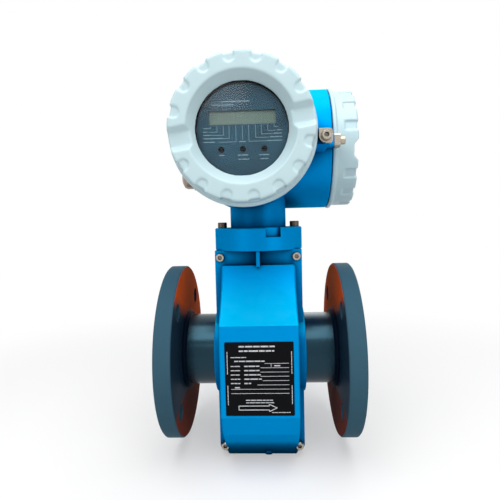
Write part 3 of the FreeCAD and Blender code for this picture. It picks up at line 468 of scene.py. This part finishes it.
def slate_paint(name, paints, slate, inner, roughness, gloss):
    """Sprayed slate paint, darker on the inner flange faces as painted shade, with an orange-brown band on those
    faces above and below the tube that darkens towards the bottom.
    """
    material, tree, shader = new_material(name)
    coat = use_group(tree, sprayed_coat(), Colour=slate, Mottle=0.22, Grain=300.0, Roughness=roughness)
    edges = use_group(tree, soft_edges(), Radius=paints.edge_radius)
    painted_shade = use_group(tree, corner_shade(), Reach=22 * MM)
    mask, height, inner_face = orange_band(tree)
    # Painted shade: faces that look inward are blended to the darker inner colour.
    thin = blend_colour(tree, inner_face, coat["Colour"], inner)
    # The orange-brown band darkens towards the bottom.
    inner_orange = blend_colour(tree, height, paints.inner_orange_low, paints.inner_orange)
    painted = blend_colour(tree, mask, thin, inner_orange)
    # Edge wear and painted highlight: the edges are lightened.
    edge_worn_and_lit = blend_colour(tree, times(tree, edges["Edge"], 0.35), painted, colour(88, 116, 130))
    # Painted shade: the paint darkens towards black in corners and where the flanges and the body hang over the
    # tube.
    shaded = blend_colour(tree, times(tree, painted_shade["Mask"], 0.7), edge_worn_and_lit, BLACK)
    rough = calculate(tree, "ADD", coat["Roughness"], times(tree, mask, 0.25), clamp=True)
    normal = bumped(tree, coat["Height"], 0.15 * MM, 0.4, edges["Normal"])
    wire(tree, shader, Base_Color=shaded, Roughness=rough, Normal=normal, Specular_IOR_Level=gloss,
         Specular_Tint=colour(150, 225, 255))
    return material


def drawn_metal(name, tint, roughness, scale):
    """Bare metal with fine machining lines, edges brightened for wear and painted highlight, and painted shade in
    the recesses.
    """
    material, tree, shader = new_material(name)
    grain = use_group(tree, drawn_grain(), Scale=scale, Roughness=roughness)
    edges = use_group(tree, soft_edges(), Radius=0.25 * MM)
    painted_shade = use_group(tree, corner_shade(), Reach=3 * MM)
    # Edge wear and painted highlight: the edges are brightened by half again.
    bright = tuple(min(1.0, 1.5 * channel) for channel in tint)
    edges_worn_and_lit = blend_colour(tree, times(tree, edges["Edge"], 0.6), toned(tree, tint, grain["Tone"]), bright)
    # Painted shade: the recesses, such as the screw sockets, are darkened towards near black.
    recess = calculate(tree, "POWER", painted_shade["Mask"], 0.45)
    shown = blend_colour(tree, recess, edges_worn_and_lit, colour(20, 17, 15))
    normal = bumped(tree, grain["Height"], 0.05 * MM, 0.3, edges["Normal"])
    wire(tree, shader, Base_Color=shown, Metallic=1.0, Roughness=grain["Roughness"], Normal=normal)
    return material


def moulding(name, tint, roughness, grain=1400.0, bump=0.25, gloss=0.5):
    """A plastic or rubber moulding with a fine pebbled skin."""
    material, tree, shader = new_material(name)
    skin = use_group(tree, moulded_skin(), Grain=grain)
    edges = use_group(tree, soft_edges(), Radius=0.3 * MM)
    normal = bumped(tree, skin["Height"], 0.08 * MM, bump, edges["Normal"])
    wire(tree, shader, Base_Color=toned(tree, tint, skin["Tone"]), Roughness=roughness, Normal=normal,
         Specular_IOR_Level=gloss)
    return material


def clear_glass():
    """The flat toughened window, with an anti-glare coat and faint smears."""
    material, tree, shader = new_material("window_glass")
    smears = ramp(tree, noise(tree, object_coordinates(tree), 55.0, 3.0), 0.45, 0.75, 0.0, 0.01)
    wire(tree, shader, Base_Color=(0.93, 0.96, 0.96, 1.0), Roughness=smears, Transmission_Weight=1.0,
         IOR=1.03, Coat_Weight=1.0, Coat_IOR=1.22, Coat_Roughness=0.12)
    return material


def liquid_crystal(paints):
    """The resting display: a grey-green glass with three faint rows of character cells."""
    material, tree, shader = new_material("liquid_crystal")
    place = split(tree, object_coordinates(tree))
    low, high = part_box("lcd_module")

    def gaps(measure, start, cell, share):
        """One in the gaps between cells of one size along one axis."""
        count = calculate(tree, "DIVIDE", calculate(tree, "SUBTRACT", measure, start), cell)
        return calculate(tree, "GREATER_THAN", calculate(tree, "FRACT", count), share)

    columns = gaps(place["X"], low.x, 3.4 * MM, 0.86)
    rows = gaps(place["Z"], low.z, (high.z - low.z) / 3, 0.9)
    cells = times(tree, calculate(tree, "MAXIMUM", columns, rows), 0.1)
    haze = ramp(tree, noise(tree, object_coordinates(tree), 45.0), 0.2, 0.8, 0.93, 1.05)
    shown = blend_colour(tree, cells, toned(tree, paints.glass_grey, haze), colour(150, 165, 140))
    wire(tree, shader, Base_Color=shown, Roughness=0.25)
    return material


def copper_winding():
    """Enamelled wire laid in even turns."""
    material, tree, shader = new_material("copper_winding")
    turns = add(tree, "ShaderNodeTexWave",
                {"Vector": object_coordinates(tree), "Scale": 260.0, "Distortion": 0.3},
                bands_direction="Z")
    tint = blend_colour(tree, turns.outputs["Fac"], colour(120, 60, 28), colour(205, 120, 70))
    normal = bumped(tree, turns.outputs["Fac"], 0.2 * MM, 0.8)
    wire(tree, shader, Base_Color=tint, Metallic=0.6, Roughness=0.35, Normal=normal)
    return material


def laminate():
    """Green circuit laminate with a faint pattern of tracks under the lacquer."""
    material, tree, shader = new_material("green_laminate")
    tracks = add(tree, "ShaderNodeTexBrick",
                 {"Vector": object_coordinates(tree), "Scale": 180.0,
                  "Color1": colour(16, 84, 44), "Color2": colour(22, 98, 52), "Mortar": colour(58, 130, 70),
                  "Mortar Size": 0.03})
    wire(tree, shader, Base_Color=tracks.outputs["Color"], Roughness=0.35)
    return material


def ink(name, tint):
    """Matt printing ink, slightly uneven."""
    material, tree, shader = new_material(name)
    patches = noise(tree, object_coordinates(tree), 700.0, 2.0)
    shown = toned(tree, tint, ramp(tree, patches, 0.3, 0.7, 0.82, 1.05))
    wire(tree, shader, Base_Color=shown, Roughness=0.55)
    return material


def dress(slot, material):
    """Gives a finish to every solid in one material slot."""
    names = nodes_in_slot(slot)
    if not names:
        raise ValueError(f"no solid is in slot {slot}")
    for name in names:
        mesh = NODES[name].data
        mesh.materials.clear()
        mesh.materials.append(material)


# ---------------------------------------------------------------- modelling tools


def start_clean():
    if bpy.context.object and bpy.context.object.mode != "OBJECT":
        bpy.ops.object.mode_set(mode="OBJECT")
    bpy.ops.object.select_all(action="DESELECT")


def only(piece):
    """Selects one piece and makes it active."""
    start_clean()
    piece.select_set(True)
    bpy.context.view_layer.objects.active = piece
    return piece


def bake_place(piece):
    """Moves the piece's place into its mesh."""
    only(piece)
    bpy.ops.object.transform_apply(location=True, rotation=True, scale=True)
    return piece


def finish_piece(piece, name, node, material):
    """Names a piece and lets it ride with the body that carries a solid."""
    bake_place(piece)
    piece.name = name
    piece.data.name = name
    piece.data.materials.clear()
    piece.data.materials.append(material)
    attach(piece, body_of_node(node))
    return piece


class Stroke:
    """One straight stroke of ink between two points of a printed face."""

    def __init__(self, start, end, width):
        self.start = Vector(start)
        self.end = Vector(end)
        self.width = width


def ink_block(height):
    """The stroke that all the others are copied from: one unit long, lying on the XZ plane, proud to -Y."""
    start_clean()
    bpy.ops.mesh.primitive_plane_add(size=1.0, rotation=(math.radians(90), 0, 0))
    block = bpy.context.object
    bpy.ops.object.transform_apply(location=False, rotation=True, scale=False)
    bpy.ops.object.mode_set(mode="EDIT")
    bpy.ops.mesh.select_all(action="SELECT")
    bpy.ops.mesh.extrude_region_move(TRANSFORM_OT_translate={"value": (0, -height, 0)})
    bpy.ops.mesh.select_all(action="SELECT")
    bpy.ops.mesh.normals_make_consistent(inside=False)
    bpy.ops.object.mode_set(mode="OBJECT")
    return block


def print_strokes(strokes, origin, height):
    """Copies the ink block along every stroke and joins the copies.

    The strokes' points are measured right and up from the origin.
    """
    block = ink_block(height)
    copies = []
    for stroke in strokes:
        run = stroke.end - stroke.start
        length = run.length + stroke.width * 0.2
        centre = (stroke.start + stroke.end) / 2
        place = Matrix.Translation(origin + Vector((centre.x, 0, centre.y)))
        turn = Matrix.Rotation(-math.atan2(run.y, run.x), 4, "Y")
        size = Matrix.Diagonal((length, 1.0, stroke.width, 1.0))
        copy = block.copy()
        copy.data = block.data.copy()
        copy.data.transform(place @ turn @ size)
        bpy.context.collection.objects.link(copy)
        copies.append(copy)
    bpy.data.objects.remove(block)
    start_clean()
    for copy in copies:
        copy.select_set(True)
    bpy.context.view_layer.objects.active = copies[0]
    bpy.ops.object.join()
    return bpy.context.object


def plain_words(rng, left, right, level, height):
    """Dashes of uneven length in place of words."""
    strokes = []
    at = left
    while at < right - 0.4 * height:
        end = min(at + height * rng.uniform(1.3, 3.8), right)
        strokes.append(Stroke((at, level), (end, level), 0.55 * height))
        at = end + 0.45 * height
    return strokes


def lines_of_words(rng, spans):
    """Dashes along several spans, each given as left, right, level and height in millimetres."""
    strokes = []
    for span in spans:
        strokes += plain_words(rng, *(value * MM for value in span))
    return strokes


def polyline(points, width):
    return [Stroke(a, b, width) for a, b in zip(points, points[1:])]


# ---------------------------------------------------------------- operators


class FLOWMETER_OT_coat_castings(bpy.types.Operator):
    """Powder-coats the housing and the head blue and the screw covers pale grey"""

    bl_idname = "flowmeter.coat_castings"
    bl_label = "Coat the castings"

    def execute(self, context):
        paints = context.scene.flow_paint
        # The blue coat's painted shade reaches 36 mm, so the neck and the pocket under the head go dark.
        blue = powder_coat("blue_powder_coat", paints.blue, paints.blue_edge_worn_and_lit, roughness=paints.blue_gloss,
                           mottle=0.08, radius=paints.edge_radius, dust_amount=0.012, reach=36 * MM,
                           depth=0.95, spread=0.38, shade_tint=paints.blue_painted_shade, lit_top=paints.blue_lit_top)
        shader = blue.node_tree.nodes["Principled BSDF"]
        wire(blue.node_tree, shader, Specular_Tint=paints.blue_sheen, Specular_IOR_Level=0.0, Metallic=0.22)
        # The pale and bare coats get painted shade within 3 mm of corners, and edges lightened for wear and
        # painted highlight.
        pale = powder_coat("pale_powder_coat", paints.pale, colour(226, 238, 242), radius=paints.edge_radius)
        bare = powder_coat("bare_casting", colour(150, 152, 155), colour(190, 192, 195), mottle=0.2)
        dress("blue_casting", blue)
        dress("pale_casting", pale)
        dress("bare_casting", bare)
        return {"FINISHED"}


class FLOWMETER_OT_paint_pipework(bpy.types.Operator):
    """Paints the tube and its flanges slate and gives the liner its hard rubber skin"""

    bl_idname = "flowmeter.paint_pipework"
    bl_label = "Paint the pipework"

    def execute(self, context):
        paints = context.scene.flow_paint
        # The flange rims keep the lighter slate, and the inner flange faces take a darker slate as painted shade.
        flanges = slate_paint("flange_paint", paints, paints.rim_slate, paints.inner_slate_shaded, 0.5, 0.02)
        tube = slate_paint("tube_paint", paints, paints.slate, paints.slate, 0.24, 0.65)
        dress("slate_paint", flanges)
        NODES["measuring_tube"].data.materials[0] = tube
        dress("liner", moulding("hard_rubber", colour(38, 38, 40), 0.5, 900.0, 0.35))
        return {"FINISHED"}


class FLOWMETER_OT_finish_metals(bpy.types.Operator):
    """Gives the screws, clamps, electrodes, glands and magnet parts their bare metal"""

    bl_idname = "flowmeter.finish_metals"
    bl_label = "Finish the metals"

    def execute(self, context):
        dress("stainless", drawn_metal("satin_stainless", colour(176, 168, 154), 0.3, (300, 60, 900)))
        NODES["access_screw"].data.materials[0] = bpy.data.materials["blue_powder_coat"]
        dress("dark_steel", drawn_metal("blackened_steel", colour(92, 80, 70), 0.4, (500, 500, 80)))
        dress("magnet_steel", drawn_metal("magnet_steel", colour(150, 152, 156), 0.35, (40, 900, 900)))
        dress("gland_metal", drawn_metal("nickel_plate", colour(158, 142, 130), 0.34, (900, 120, 120)))
        dress("copper", copper_winding())
        return {"FINISHED"}


class FLOWMETER_OT_finish_mouldings(bpy.types.Operator):
    """Gives the seals, keys, carriers, terminals and boards their plastics and rubbers"""

    bl_idname = "flowmeter.finish_mouldings"
    bl_label = "Finish the mouldings"

    def execute(self, context):
        dress("seal", moulding("seal_rubber", colour(24, 24, 25), 0.6, 1800.0, 0.3))
        dress("key", moulding("key_rubber", colour(9, 10, 14), 0.6, 2200.0, 0.3, 0.05))
        dress("retainer", moulding("black_retainer", colour(22, 26, 28), 0.45))
        dress("carrier", moulding("black_carrier", colour(40, 43, 46), 0.5))
        dress("insulator", moulding("white_insulator", colour(226, 226, 216), 0.35))
        dress("terminal", moulding("terminal_green", colour(48, 130, 76), 0.35))
        dress("board", laminate())
        return {"FINISHED"}


class FLOWMETER_OT_finish_display(bpy.types.Operator):
    """Gives the window, the fascia, the liquid crystal and the nameplate their surfaces"""

    bl_idname = "flowmeter.finish_display"
    bl_label = "Finish the display"

    def execute(self, context):
        paints = context.scene.flow_paint
        dress("window", clear_glass())
        dress("panel", moulding("fascia_print", paints.fascia, 0.5, 2600.0, 0.12, 0.2))
        dress("lcd", liquid_crystal(paints))
        dress("nameplate", moulding("anodised_plate", paints.plate, 0.5, 2000.0, 0.15, 0.08))
        return {"FINISHED"}


class FLOWMETER_OT_print_nameplate(bpy.types.Operator):
    """Prints ruled lines, plain dashes and an outlined flow arrow on the nameplate"""

    bl_idname = "flowmeter.print_nameplate"
    bl_label = "Print the nameplate"

    def execute(self, context):
        prints = context.scene.flow_print
        low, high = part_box("nameplate")
        origin = Vector((low.x, low.y, high.z))
        width = high.x - low.x
        strokes = self.heading() + self.rows(width, prints.rule_width)
        strokes += self.arrow(prints.arrow_width) + self.side_marks(width)
        piece = print_strokes(strokes, origin, prints.ink_height)
        tint = ink("plate_ink", context.scene.flow_paint.ink)
        finish_piece(piece, "nameplate_print", "nameplate", tint)
        return {"FINISHED"}

    def heading(self):
        """Four lines of dashes at the top."""
        spans = (
            (13.4, 46.5, -4.1, 2.5), (13.4, 46.0, -8.3, 2.5),
            (5.6, 20.0, -14.3, 1.4), (9.0, 37.0, -17.9, 2.0),
        )
        return lines_of_words(random.Random(3), spans)

    def rows(self, width, rule):
        """Eight ruled lines, the upper six with a label and a value to the left of the rule."""
        rng = random.Random(8)
        first = 20.1 * MM
        step = 4.06 * MM
        left = 5.4 * MM
        right = width - 4.6 * MM
        rule_starts = (37, 33, 33, 33, 35, 30, 5.4, 5.4)
        value_ends = (0, 32, 32, 33, 34, 24, 14, 0)
        strokes = []
        for row, (rule_start, value_end) in enumerate(zip(rule_starts, value_ends)):
            level = -(first + step * row)
            strokes.append(Stroke((rule_start * MM, level), (right, level), rule))
            text = level + 1.5 * MM
            if value_end > 20:
                strokes += plain_words(rng, left, 14 * MM, text, 1.5 * MM)
                strokes += plain_words(rng, 18 * MM, value_end * MM, text, 2.0 * MM)
            elif value_end:
                strokes += plain_words(rng, 9 * MM, value_end * MM, text, 2.0 * MM)
        divider = 43 * MM
        strokes.append(Stroke((divider, -first), (divider, -first - 0.8 * step), rule))
        return strokes + plain_words(rng, 46 * MM, 52 * MM, -first - 0.55 * step, 1.8 * MM)

    def arrow(self, line):
        """The outlined flow arrow, with two lines of dashes over it and one under it."""
        tail, neck, tip = 12.2 * MM, 40.6 * MM, 47.8 * MM
        level = -62.4 * MM
        half, head = 1.9 * MM, 3.4 * MM
        outline = [
            (tail, level + half), (neck, level + half), (neck, level + head), (tip, level),
            (neck, level - head), (neck, level - half), (tail, level - half), (tail, level + half),
        ]
        spans = ((19, 44, -55.0, 1.6), (19, 45, -57.4, 1.4), (43, 60, -66.8, 1.2))
        return polyline(outline, line) + lines_of_words(random.Random(12), spans)

    def side_marks(self, width):
        """Small upright runs of dashes beside both edges."""
        rng = random.Random(21)
        strokes = []
        for across in (2.3 * MM, width - 2.0 * MM):
            for top, bottom in ((9.0, 30.0), (41.0, 59.5)):
                for dash in plain_words(rng, top * MM, bottom * MM, 0.0, 1.2 * MM):
                    strokes.append(Stroke((across, -dash.start.x), (across, -dash.end.x), dash.width))
        return strokes


class FLOWMETER_OT_print_fascia(bpy.types.Operator):
    """Prints the leader lines and the plain dashes on the display panel"""

    bl_idname = "flowmeter.print_fascia"
    bl_label = "Print the fascia"

    def execute(self, context):
        prints = context.scene.flow_print
        centre = middle("display_panel")
        origin = Vector((centre.x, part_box("display_panel")[0].y, centre.z))
        strokes = self.leaders(prints.leader_width) + self.words()
        piece = print_strokes(strokes, origin, prints.ink_height)
        tint = ink("fascia_ink", context.scene.flow_paint.fascia_ink)
        finish_piece(piece, "fascia_print", "display_panel", tint)
        return {"FINISHED"}

    def leaders(self, line):
        """Lines that drop from the display's lower edge and run out to the labels at both sides."""
        top = 4.2 * MM
        strokes = [Stroke((0, top), (0, -8.0 * MM), line)]
        drops = ((5.6, -9.7, 21), (11.5, -6.6, 23), (16.4, -3.7, 26), (22.0, -0.9, 29), (27.5, 2.2, 31))
        for across, level, out in drops:
            for side in (-1, 1):
                drop, end = side * across * MM, side * out * MM
                strokes += polyline([(drop, top), (drop, level * MM), (end, level * MM)], line)
        return strokes

    def words(self):
        """The labels at both sides, the labels of the keys, and the heading."""
        spans = (
            (-34.0, -24.0, -9.5, 1.5), (-34.0, -17.0, -6.4, 1.5), (-34.0, -27.0, -3.5, 1.5),
            (-34.0, -29.5, -0.7, 1.4), (-33.6, -31.0, 2.3, 1.3), (21.5, 34.0, -9.5, 1.5),
            (24.0, 34.0, -6.4, 1.5), (27.0, 34.0, -3.5, 1.5), (30.0, 34.0, -0.7, 1.4),
            (-2.8, 3.0, -9.7, 1.5), (-20.6, -16.2, -21.0, 1.6), (-4.4, 4.4, -21.2, 1.6),
            (-4.2, 5.4, -24.8, 1.6), (14.3, 23.4, -21.4, 1.6), (15.4, 22.6, -24.8, 1.6),
            (-17.5, 6.8, 24.6, 1.7), (-26.0, -7.2, 21.9, 1.3),
        )
        return lines_of_words(random.Random(5), spans)


SEAL_OVER_SKIRT = 0.1 * MM
THREAD_ROOT = 0.3 * MM
THREAD_LEAD_IN = 0.4 * MM
THREAD_SHARE = 0.92
THREAD_TURNS = 3
STEPS_A_TURN = 96
CREST_SHARE = 0.1


class FLOWMETER_OT_cut_threads(bpy.types.Operator):
    """Cuts the thread on the skirt of each screw cover"""

    bl_idname = "flowmeter.cut_threads"
    bl_label = "Cut the cover threads"

    def execute(self, context):
        threads = context.scene.flow_thread
        coat = bpy.data.materials["pale_powder_coat"]
        joints = {joint["child"]: joint for joint in frame["joints"]}
        for cover in COVERS:
            joint = joints[body_of_node(cover)]
            axis = Vector(joint["axis"])
            seat = Vector(joint["pos_m"])
            low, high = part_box(cover)
            inner_end = min((low - seat).dot(axis), (high - seat).dot(axis))
            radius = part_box(cover + "_seal")[1].z - seat.z - SEAL_OVER_SKIRT
            piece = self.thread(radius, inner_end, threads.pitch, threads.crest)
            turn = axis.to_track_quat("Z", "Y").to_matrix().to_4x4()
            piece.matrix_world = Matrix.Translation(seat) @ turn
            finish_piece(piece, cover + "_thread", cover, coat)
        return {"FINISHED"}

    def thread(self, radius, inner_end, pitch, crest):
        """A helical ridge wound round Z from the skirt's end up to the seal."""
        foot = radius - THREAD_ROOT
        height = radius + crest - foot
        rise = pitch * THREAD_SHARE
        start_clean()
        bpy.ops.mesh.primitive_plane_add(
            size=1.0, rotation=(math.pi / 2, 0, 0),
            location=(foot + height / 2, 0, inner_end + THREAD_LEAD_IN + rise / 2),
        )
        piece = bpy.context.object
        piece.scale = (height, rise, 1.0)
        bpy.ops.object.transform_apply(location=True, rotation=True, scale=True)
        self.taper(piece, foot + height / 2)
        screw = piece.modifiers.new("Wind", "SCREW")
        screw.screw_offset = pitch
        screw.iterations = THREAD_TURNS
        screw.steps = STEPS_A_TURN
        screw.render_steps = STEPS_A_TURN
        bpy.ops.object.modifier_apply(modifier=screw.name)
        bpy.ops.object.mode_set(mode="EDIT")
        bpy.ops.mesh.select_all(action="SELECT")
        bpy.ops.mesh.remove_doubles(threshold=0.01 * MM)
        bpy.ops.mesh.fill_holes(sides=4)
        bpy.ops.mesh.select_all(action="SELECT")
        bpy.ops.mesh.normals_make_consistent(inside=False)
        bpy.ops.object.mode_set(mode="OBJECT")
        bpy.ops.object.shade_smooth_by_angle(angle=math.radians(30))
        return piece

    def taper(self, piece, split_radius):
        """Narrows the section's outer edge to a thread's flat crest."""
        bpy.ops.object.mode_set(mode="EDIT")
        bpy.ops.mesh.select_all(action="DESELECT")
        bpy.ops.object.mode_set(mode="OBJECT")
        outer = [vertex for vertex in piece.data.vertices if vertex.co.x > split_radius]
        for vertex in outer:
            vertex.select = True
        bpy.ops.object.mode_set(mode="EDIT")
        crest_middle = sum((vertex.co for vertex in outer), Vector()) / len(outer)
        bpy.ops.transform.resize(value=(1, 1, CREST_SHARE), center_override=crest_middle)
        bpy.ops.object.mode_set(mode="OBJECT")


BEAD_OFF_FLANGE = 1.9 * MM
BEAD_OFF_TUBE = 1.7 * MM
BEAD_SECTIONS = 240
SECTIONS_A_RIPPLE = 4


class FLOWMETER_OT_lay_welds(bpy.types.Operator):
    """Lays a rippled weld bead between the tube and each flange"""

    bl_idname = "flowmeter.lay_welds"
    bl_label = "Lay the weld beads"

    def execute(self, context):
        threads = context.scene.flow_thread
        paint = bpy.data.materials["flange_paint"]
        for side, end in ((-1, "inlet"), (1, "outlet")):
            piece = self.bead(threads.weld_radius, threads.weld_ripple)
            place = Matrix.Translation((side * (FLANGE_BACK - BEAD_OFF_FLANGE), 0, 0))
            piece.matrix_world = place @ Matrix.Rotation(math.pi / 2, 4, "Y")
            finish_piece(piece, end + "_weld_bead", end + "_flange", paint)
        return {"FINISHED"}

    def bead(self, radius, ripple):
        """A ring with every fourth of its sections swollen."""
        start_clean()
        bpy.ops.mesh.primitive_torus_add(
            major_radius=TUBE_RADIUS + BEAD_OFF_TUBE, minor_radius=radius,
            major_segments=BEAD_SECTIONS, minor_segments=12,
        )
        piece = bpy.context.object
        bpy.ops.object.mode_set(mode="EDIT")
        bpy.ops.mesh.select_all(action="DESELECT")
        bpy.ops.object.mode_set(mode="OBJECT")
        for vertex in piece.data.vertices:
            angle = math.degrees(math.atan2(vertex.co.y, vertex.co.x)) % 360
            vertex.select = round(angle * BEAD_SECTIONS / 360) % SECTIONS_A_RIPPLE == 0
        bpy.ops.object.mode_set(mode="EDIT")
        bpy.ops.transform.shrink_fatten(value=ripple)
        bpy.ops.object.mode_set(mode="OBJECT")
        bpy.ops.object.shade_smooth()
        return piece


CAST_MESH = 0.8 * MM
SEAM = 0.005 * MM
RELAX_FACTOR = 0.5
RELAX_STEPS = 6


class FLOWMETER_OT_soften_covers(bpy.types.Operator):
    """Puts a softly rounded casting in place of each screw cover, whose cast edges are coated thickly"""

    bl_idname = "flowmeter.soften_covers"
    bl_label = "Soften the covers"

    def execute(self, context):
        coat = bpy.data.materials["pale_powder_coat"]
        for cover in COVERS:
            piece = NODES[cover].copy()
            piece.data = NODES[cover].data.copy()
            bpy.context.collection.objects.link(piece)
            only(piece)
            self.close_seams()
            self.round_off(piece)
            finish_piece(piece, cover + "_casting", cover, coat)
            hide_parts(cover)
        return {"FINISHED"}

    def close_seams(self):
        """Joins the faces of the casting into one closed skin."""
        bpy.ops.object.mode_set(mode="EDIT")
        bpy.ops.mesh.select_all(action="SELECT")
        bpy.ops.mesh.remove_doubles(threshold=SEAM)
        bpy.ops.mesh.normals_make_consistent(inside=False)
        bpy.ops.object.mode_set(mode="OBJECT")

    def round_off(self, piece):
        """Rebuilds the surface as an even fine mesh and relaxes its edges."""
        remesh = piece.modifiers.new("Even mesh", "REMESH")
        remesh.mode = "VOXEL"
        remesh.voxel_size = CAST_MESH
        bpy.ops.object.modifier_apply(modifier=remesh.name)
        relax = piece.modifiers.new("Relax", "SMOOTH")
        relax.factor = RELAX_FACTOR
        relax.iterations = RELAX_STEPS
        bpy.ops.object.modifier_apply(modifier=relax.name)
        bpy.ops.object.shade_smooth()


LAMPS = (
    ("ceiling", (0.0, -0.55, 1.3), 1.3),
    ("right", (1.0, -1.1, 0.3), 0.8),
    ("left", (-1.0, -1.2, 0.35), 0.8),
    ("strip", (-0.17, -1.5, 0.68), 0.2),
    ("back", (0.5, 1.4, 0.8), 1.0),
)
LAMP_TARGET = Vector((0, 0, 0.1))
SENSOR_WIDTH = 36.0
FLOOR_SIZE = 8.0
FLOOR_GAP = 0.02 * MM


class FLOWMETER_OT_set_stage(bpy.types.Operator):
    """Sets the floor, the lamps, the surroundings and the camera"""

    bl_idname = "flowmeter.set_stage"
    bl_label = "Set the stage"

    def execute(self, context):
        stage = context.scene.flow_stage
        self.floor(stage)
        self.surroundings(context.scene, stage.ambient)
        for name, place, size in LAMPS:
            self.lamp(name + "_lamp", place, size, getattr(stage, name + "_power"))
        self.camera(context.scene, stage)
        context.scene.view_settings.view_transform = "Standard"
        return {"FINISHED"}

    def floor(self, stage):
        """A wide pale floor just under the housing, which takes the shadow and is white further off."""
        start_clean()
        bpy.ops.mesh.primitive_plane_add(size=FLOOR_SIZE, location=(0, 0, CAD_BOX[0][2] - FLOOR_GAP))
        floor = bpy.context.object
        floor.name = "floor"
        material, tree, shader = new_material("pale_floor")
        seen = self.seen_rays(tree)
        spot = stretched(tree, object_coordinates(tree), (1, 1, 0))
        away = add(tree, "ShaderNodeVectorMath", {0: spot}, operation="LENGTH").outputs["Value"]
        glow = ramp(tree, away, stage.floor_near, stage.floor_far, stage.floor_glow, 1.0)
        far = times(tree, glow, seen)
        lit = blend_colour(tree, seen, stage.floor_bounce, stage.floor)
        wire(tree, shader, Base_Color=blend_colour(tree, far, lit, BLACK), Roughness=0.9,
             Specular_IOR_Level=0.0, Emission_Strength=1.0,
             Emission_Color=blend_colour(tree, far, BLACK, WHITE))
        floor.data.materials.append(material)

    def seen_rays(self, tree):
        """One where the camera, a gloss or a window looks, and nought for plain light."""
        rays = add(tree, "ShaderNodeLightPath").outputs
        seen = calculate(tree, "MAXIMUM", rays["Is Camera Ray"], rays["Is Glossy Ray"])
        return calculate(tree, "MAXIMUM", seen, rays["Is Transmission Ray"])

    def surroundings(self, scene, ambient):
        """White wherever the camera, a gloss or a window looks, and softer as light."""
        world = bpy.data.worlds.new("surroundings")
        world.use_nodes = True
        scene.world = world
        tree = world.node_tree
        sky = tree.nodes["Background"]
        seen = times(tree, self.seen_rays(tree), 1.0 - ambient)
        strength = calculate(tree, "ADD", ambient, seen)
        sky.inputs["Color"].default_value = WHITE
        tree.links.new(strength, sky.inputs["Strength"])

    def lamp(self, name, place, size, power):
        """A square soft lamp turned to the middle of the meter."""
        start_clean()
        bpy.ops.object.light_add(type="AREA", location=place)
        lamp = bpy.context.object
        lamp.name = name
        lamp.data.size = size
        lamp.data.energy = power
        lamp.rotation_euler = (LAMP_TARGET - Vector(place)).to_track_quat("-Z", "Y").to_euler()

    def camera(self, scene, stage):
        """A camera that looks along +Y at rest, turned by the yaw, the pitch and the roll."""
        start_clean()
        bpy.ops.object.camera_add(location=stage.camera_place)
        camera = bpy.context.object
        yaw, pitch, roll = stage.yaw, stage.pitch, stage.roll
        flat = math.cos(pitch)
        forward = Vector((math.sin(yaw) * flat, math.cos(yaw) * flat, -math.sin(pitch)))
        level = Vector((math.cos(yaw), -math.sin(yaw), 0))
        upright = level.cross(forward)
        right = math.cos(roll) * level + math.sin(roll) * upright
        up = right.cross(forward)
        turn = Matrix((right, up, -forward)).transposed().to_4x4()
        camera.matrix_world = Matrix.Translation(stage.camera_place) @ turn
        camera.data.lens = stage.lens
        camera.data.sensor_width = SENSOR_WIDTH
        camera.data.clip_start = 0.01
        scene.camera = camera


class FLOWMETER_PT_panel(bpy.types.Panel):
    """Lists the steps in the order in which they run"""

    bl_label = "Flow meter"
    bl_idname = "FLOWMETER_PT_panel"
    bl_space_type = "VIEW_3D"
    bl_region_type = "UI"
    bl_category = "Flow meter"

    def draw(self, context):
        for operator in OPERATORS:
            self.layout.operator(operator.bl_idname)


SETTINGS = {
    "flow_paint": FlowPaintSettings,
    "flow_print": FlowPrintSettings,
    "flow_thread": FlowThreadSettings,
    "flow_stage": FlowStageSettings,
}
OPERATORS = (
    FLOWMETER_OT_set_stage,
    FLOWMETER_OT_coat_castings,
    FLOWMETER_OT_paint_pipework,
    FLOWMETER_OT_finish_metals,
    FLOWMETER_OT_finish_mouldings,
    FLOWMETER_OT_finish_display,
    FLOWMETER_OT_print_nameplate,
    FLOWMETER_OT_print_fascia,
    FLOWMETER_OT_cut_threads,
    FLOWMETER_OT_lay_welds,
    FLOWMETER_OT_soften_covers,
)
CLASSES = tuple(SETTINGS.values()) + OPERATORS + (FLOWMETER_PT_panel,)


def register():
    for item in CLASSES:
        bpy.utils.register_class(item)
    for name, group in SETTINGS.items():
        setattr(bpy.types.Scene, name, bpy.props.PointerProperty(type=group))


def unregister():
    for name in SETTINGS:
        delattr(bpy.types.Scene, name)
    for item in reversed(CLASSES):
        bpy.utils.unregister_class(item)


def main():
    """Runs every step in order."""
    register()
    bpy.ops.flowmeter.set_stage()
    bpy.ops.flowmeter.coat_castings()
    bpy.ops.flowmeter.paint_pipework()
    bpy.ops.flowmeter.finish_metals()
    bpy.ops.flowmeter.finish_mouldings()
    bpy.ops.flowmeter.finish_display()
    bpy.ops.flowmeter.print_nameplate()
    bpy.ops.flowmeter.print_fascia()
    bpy.ops.flowmeter.cut_threads()
    bpy.ops.flowmeter.lay_welds()
    bpy.ops.flowmeter.soften_covers()


if __name__ == "__main__":
    main()
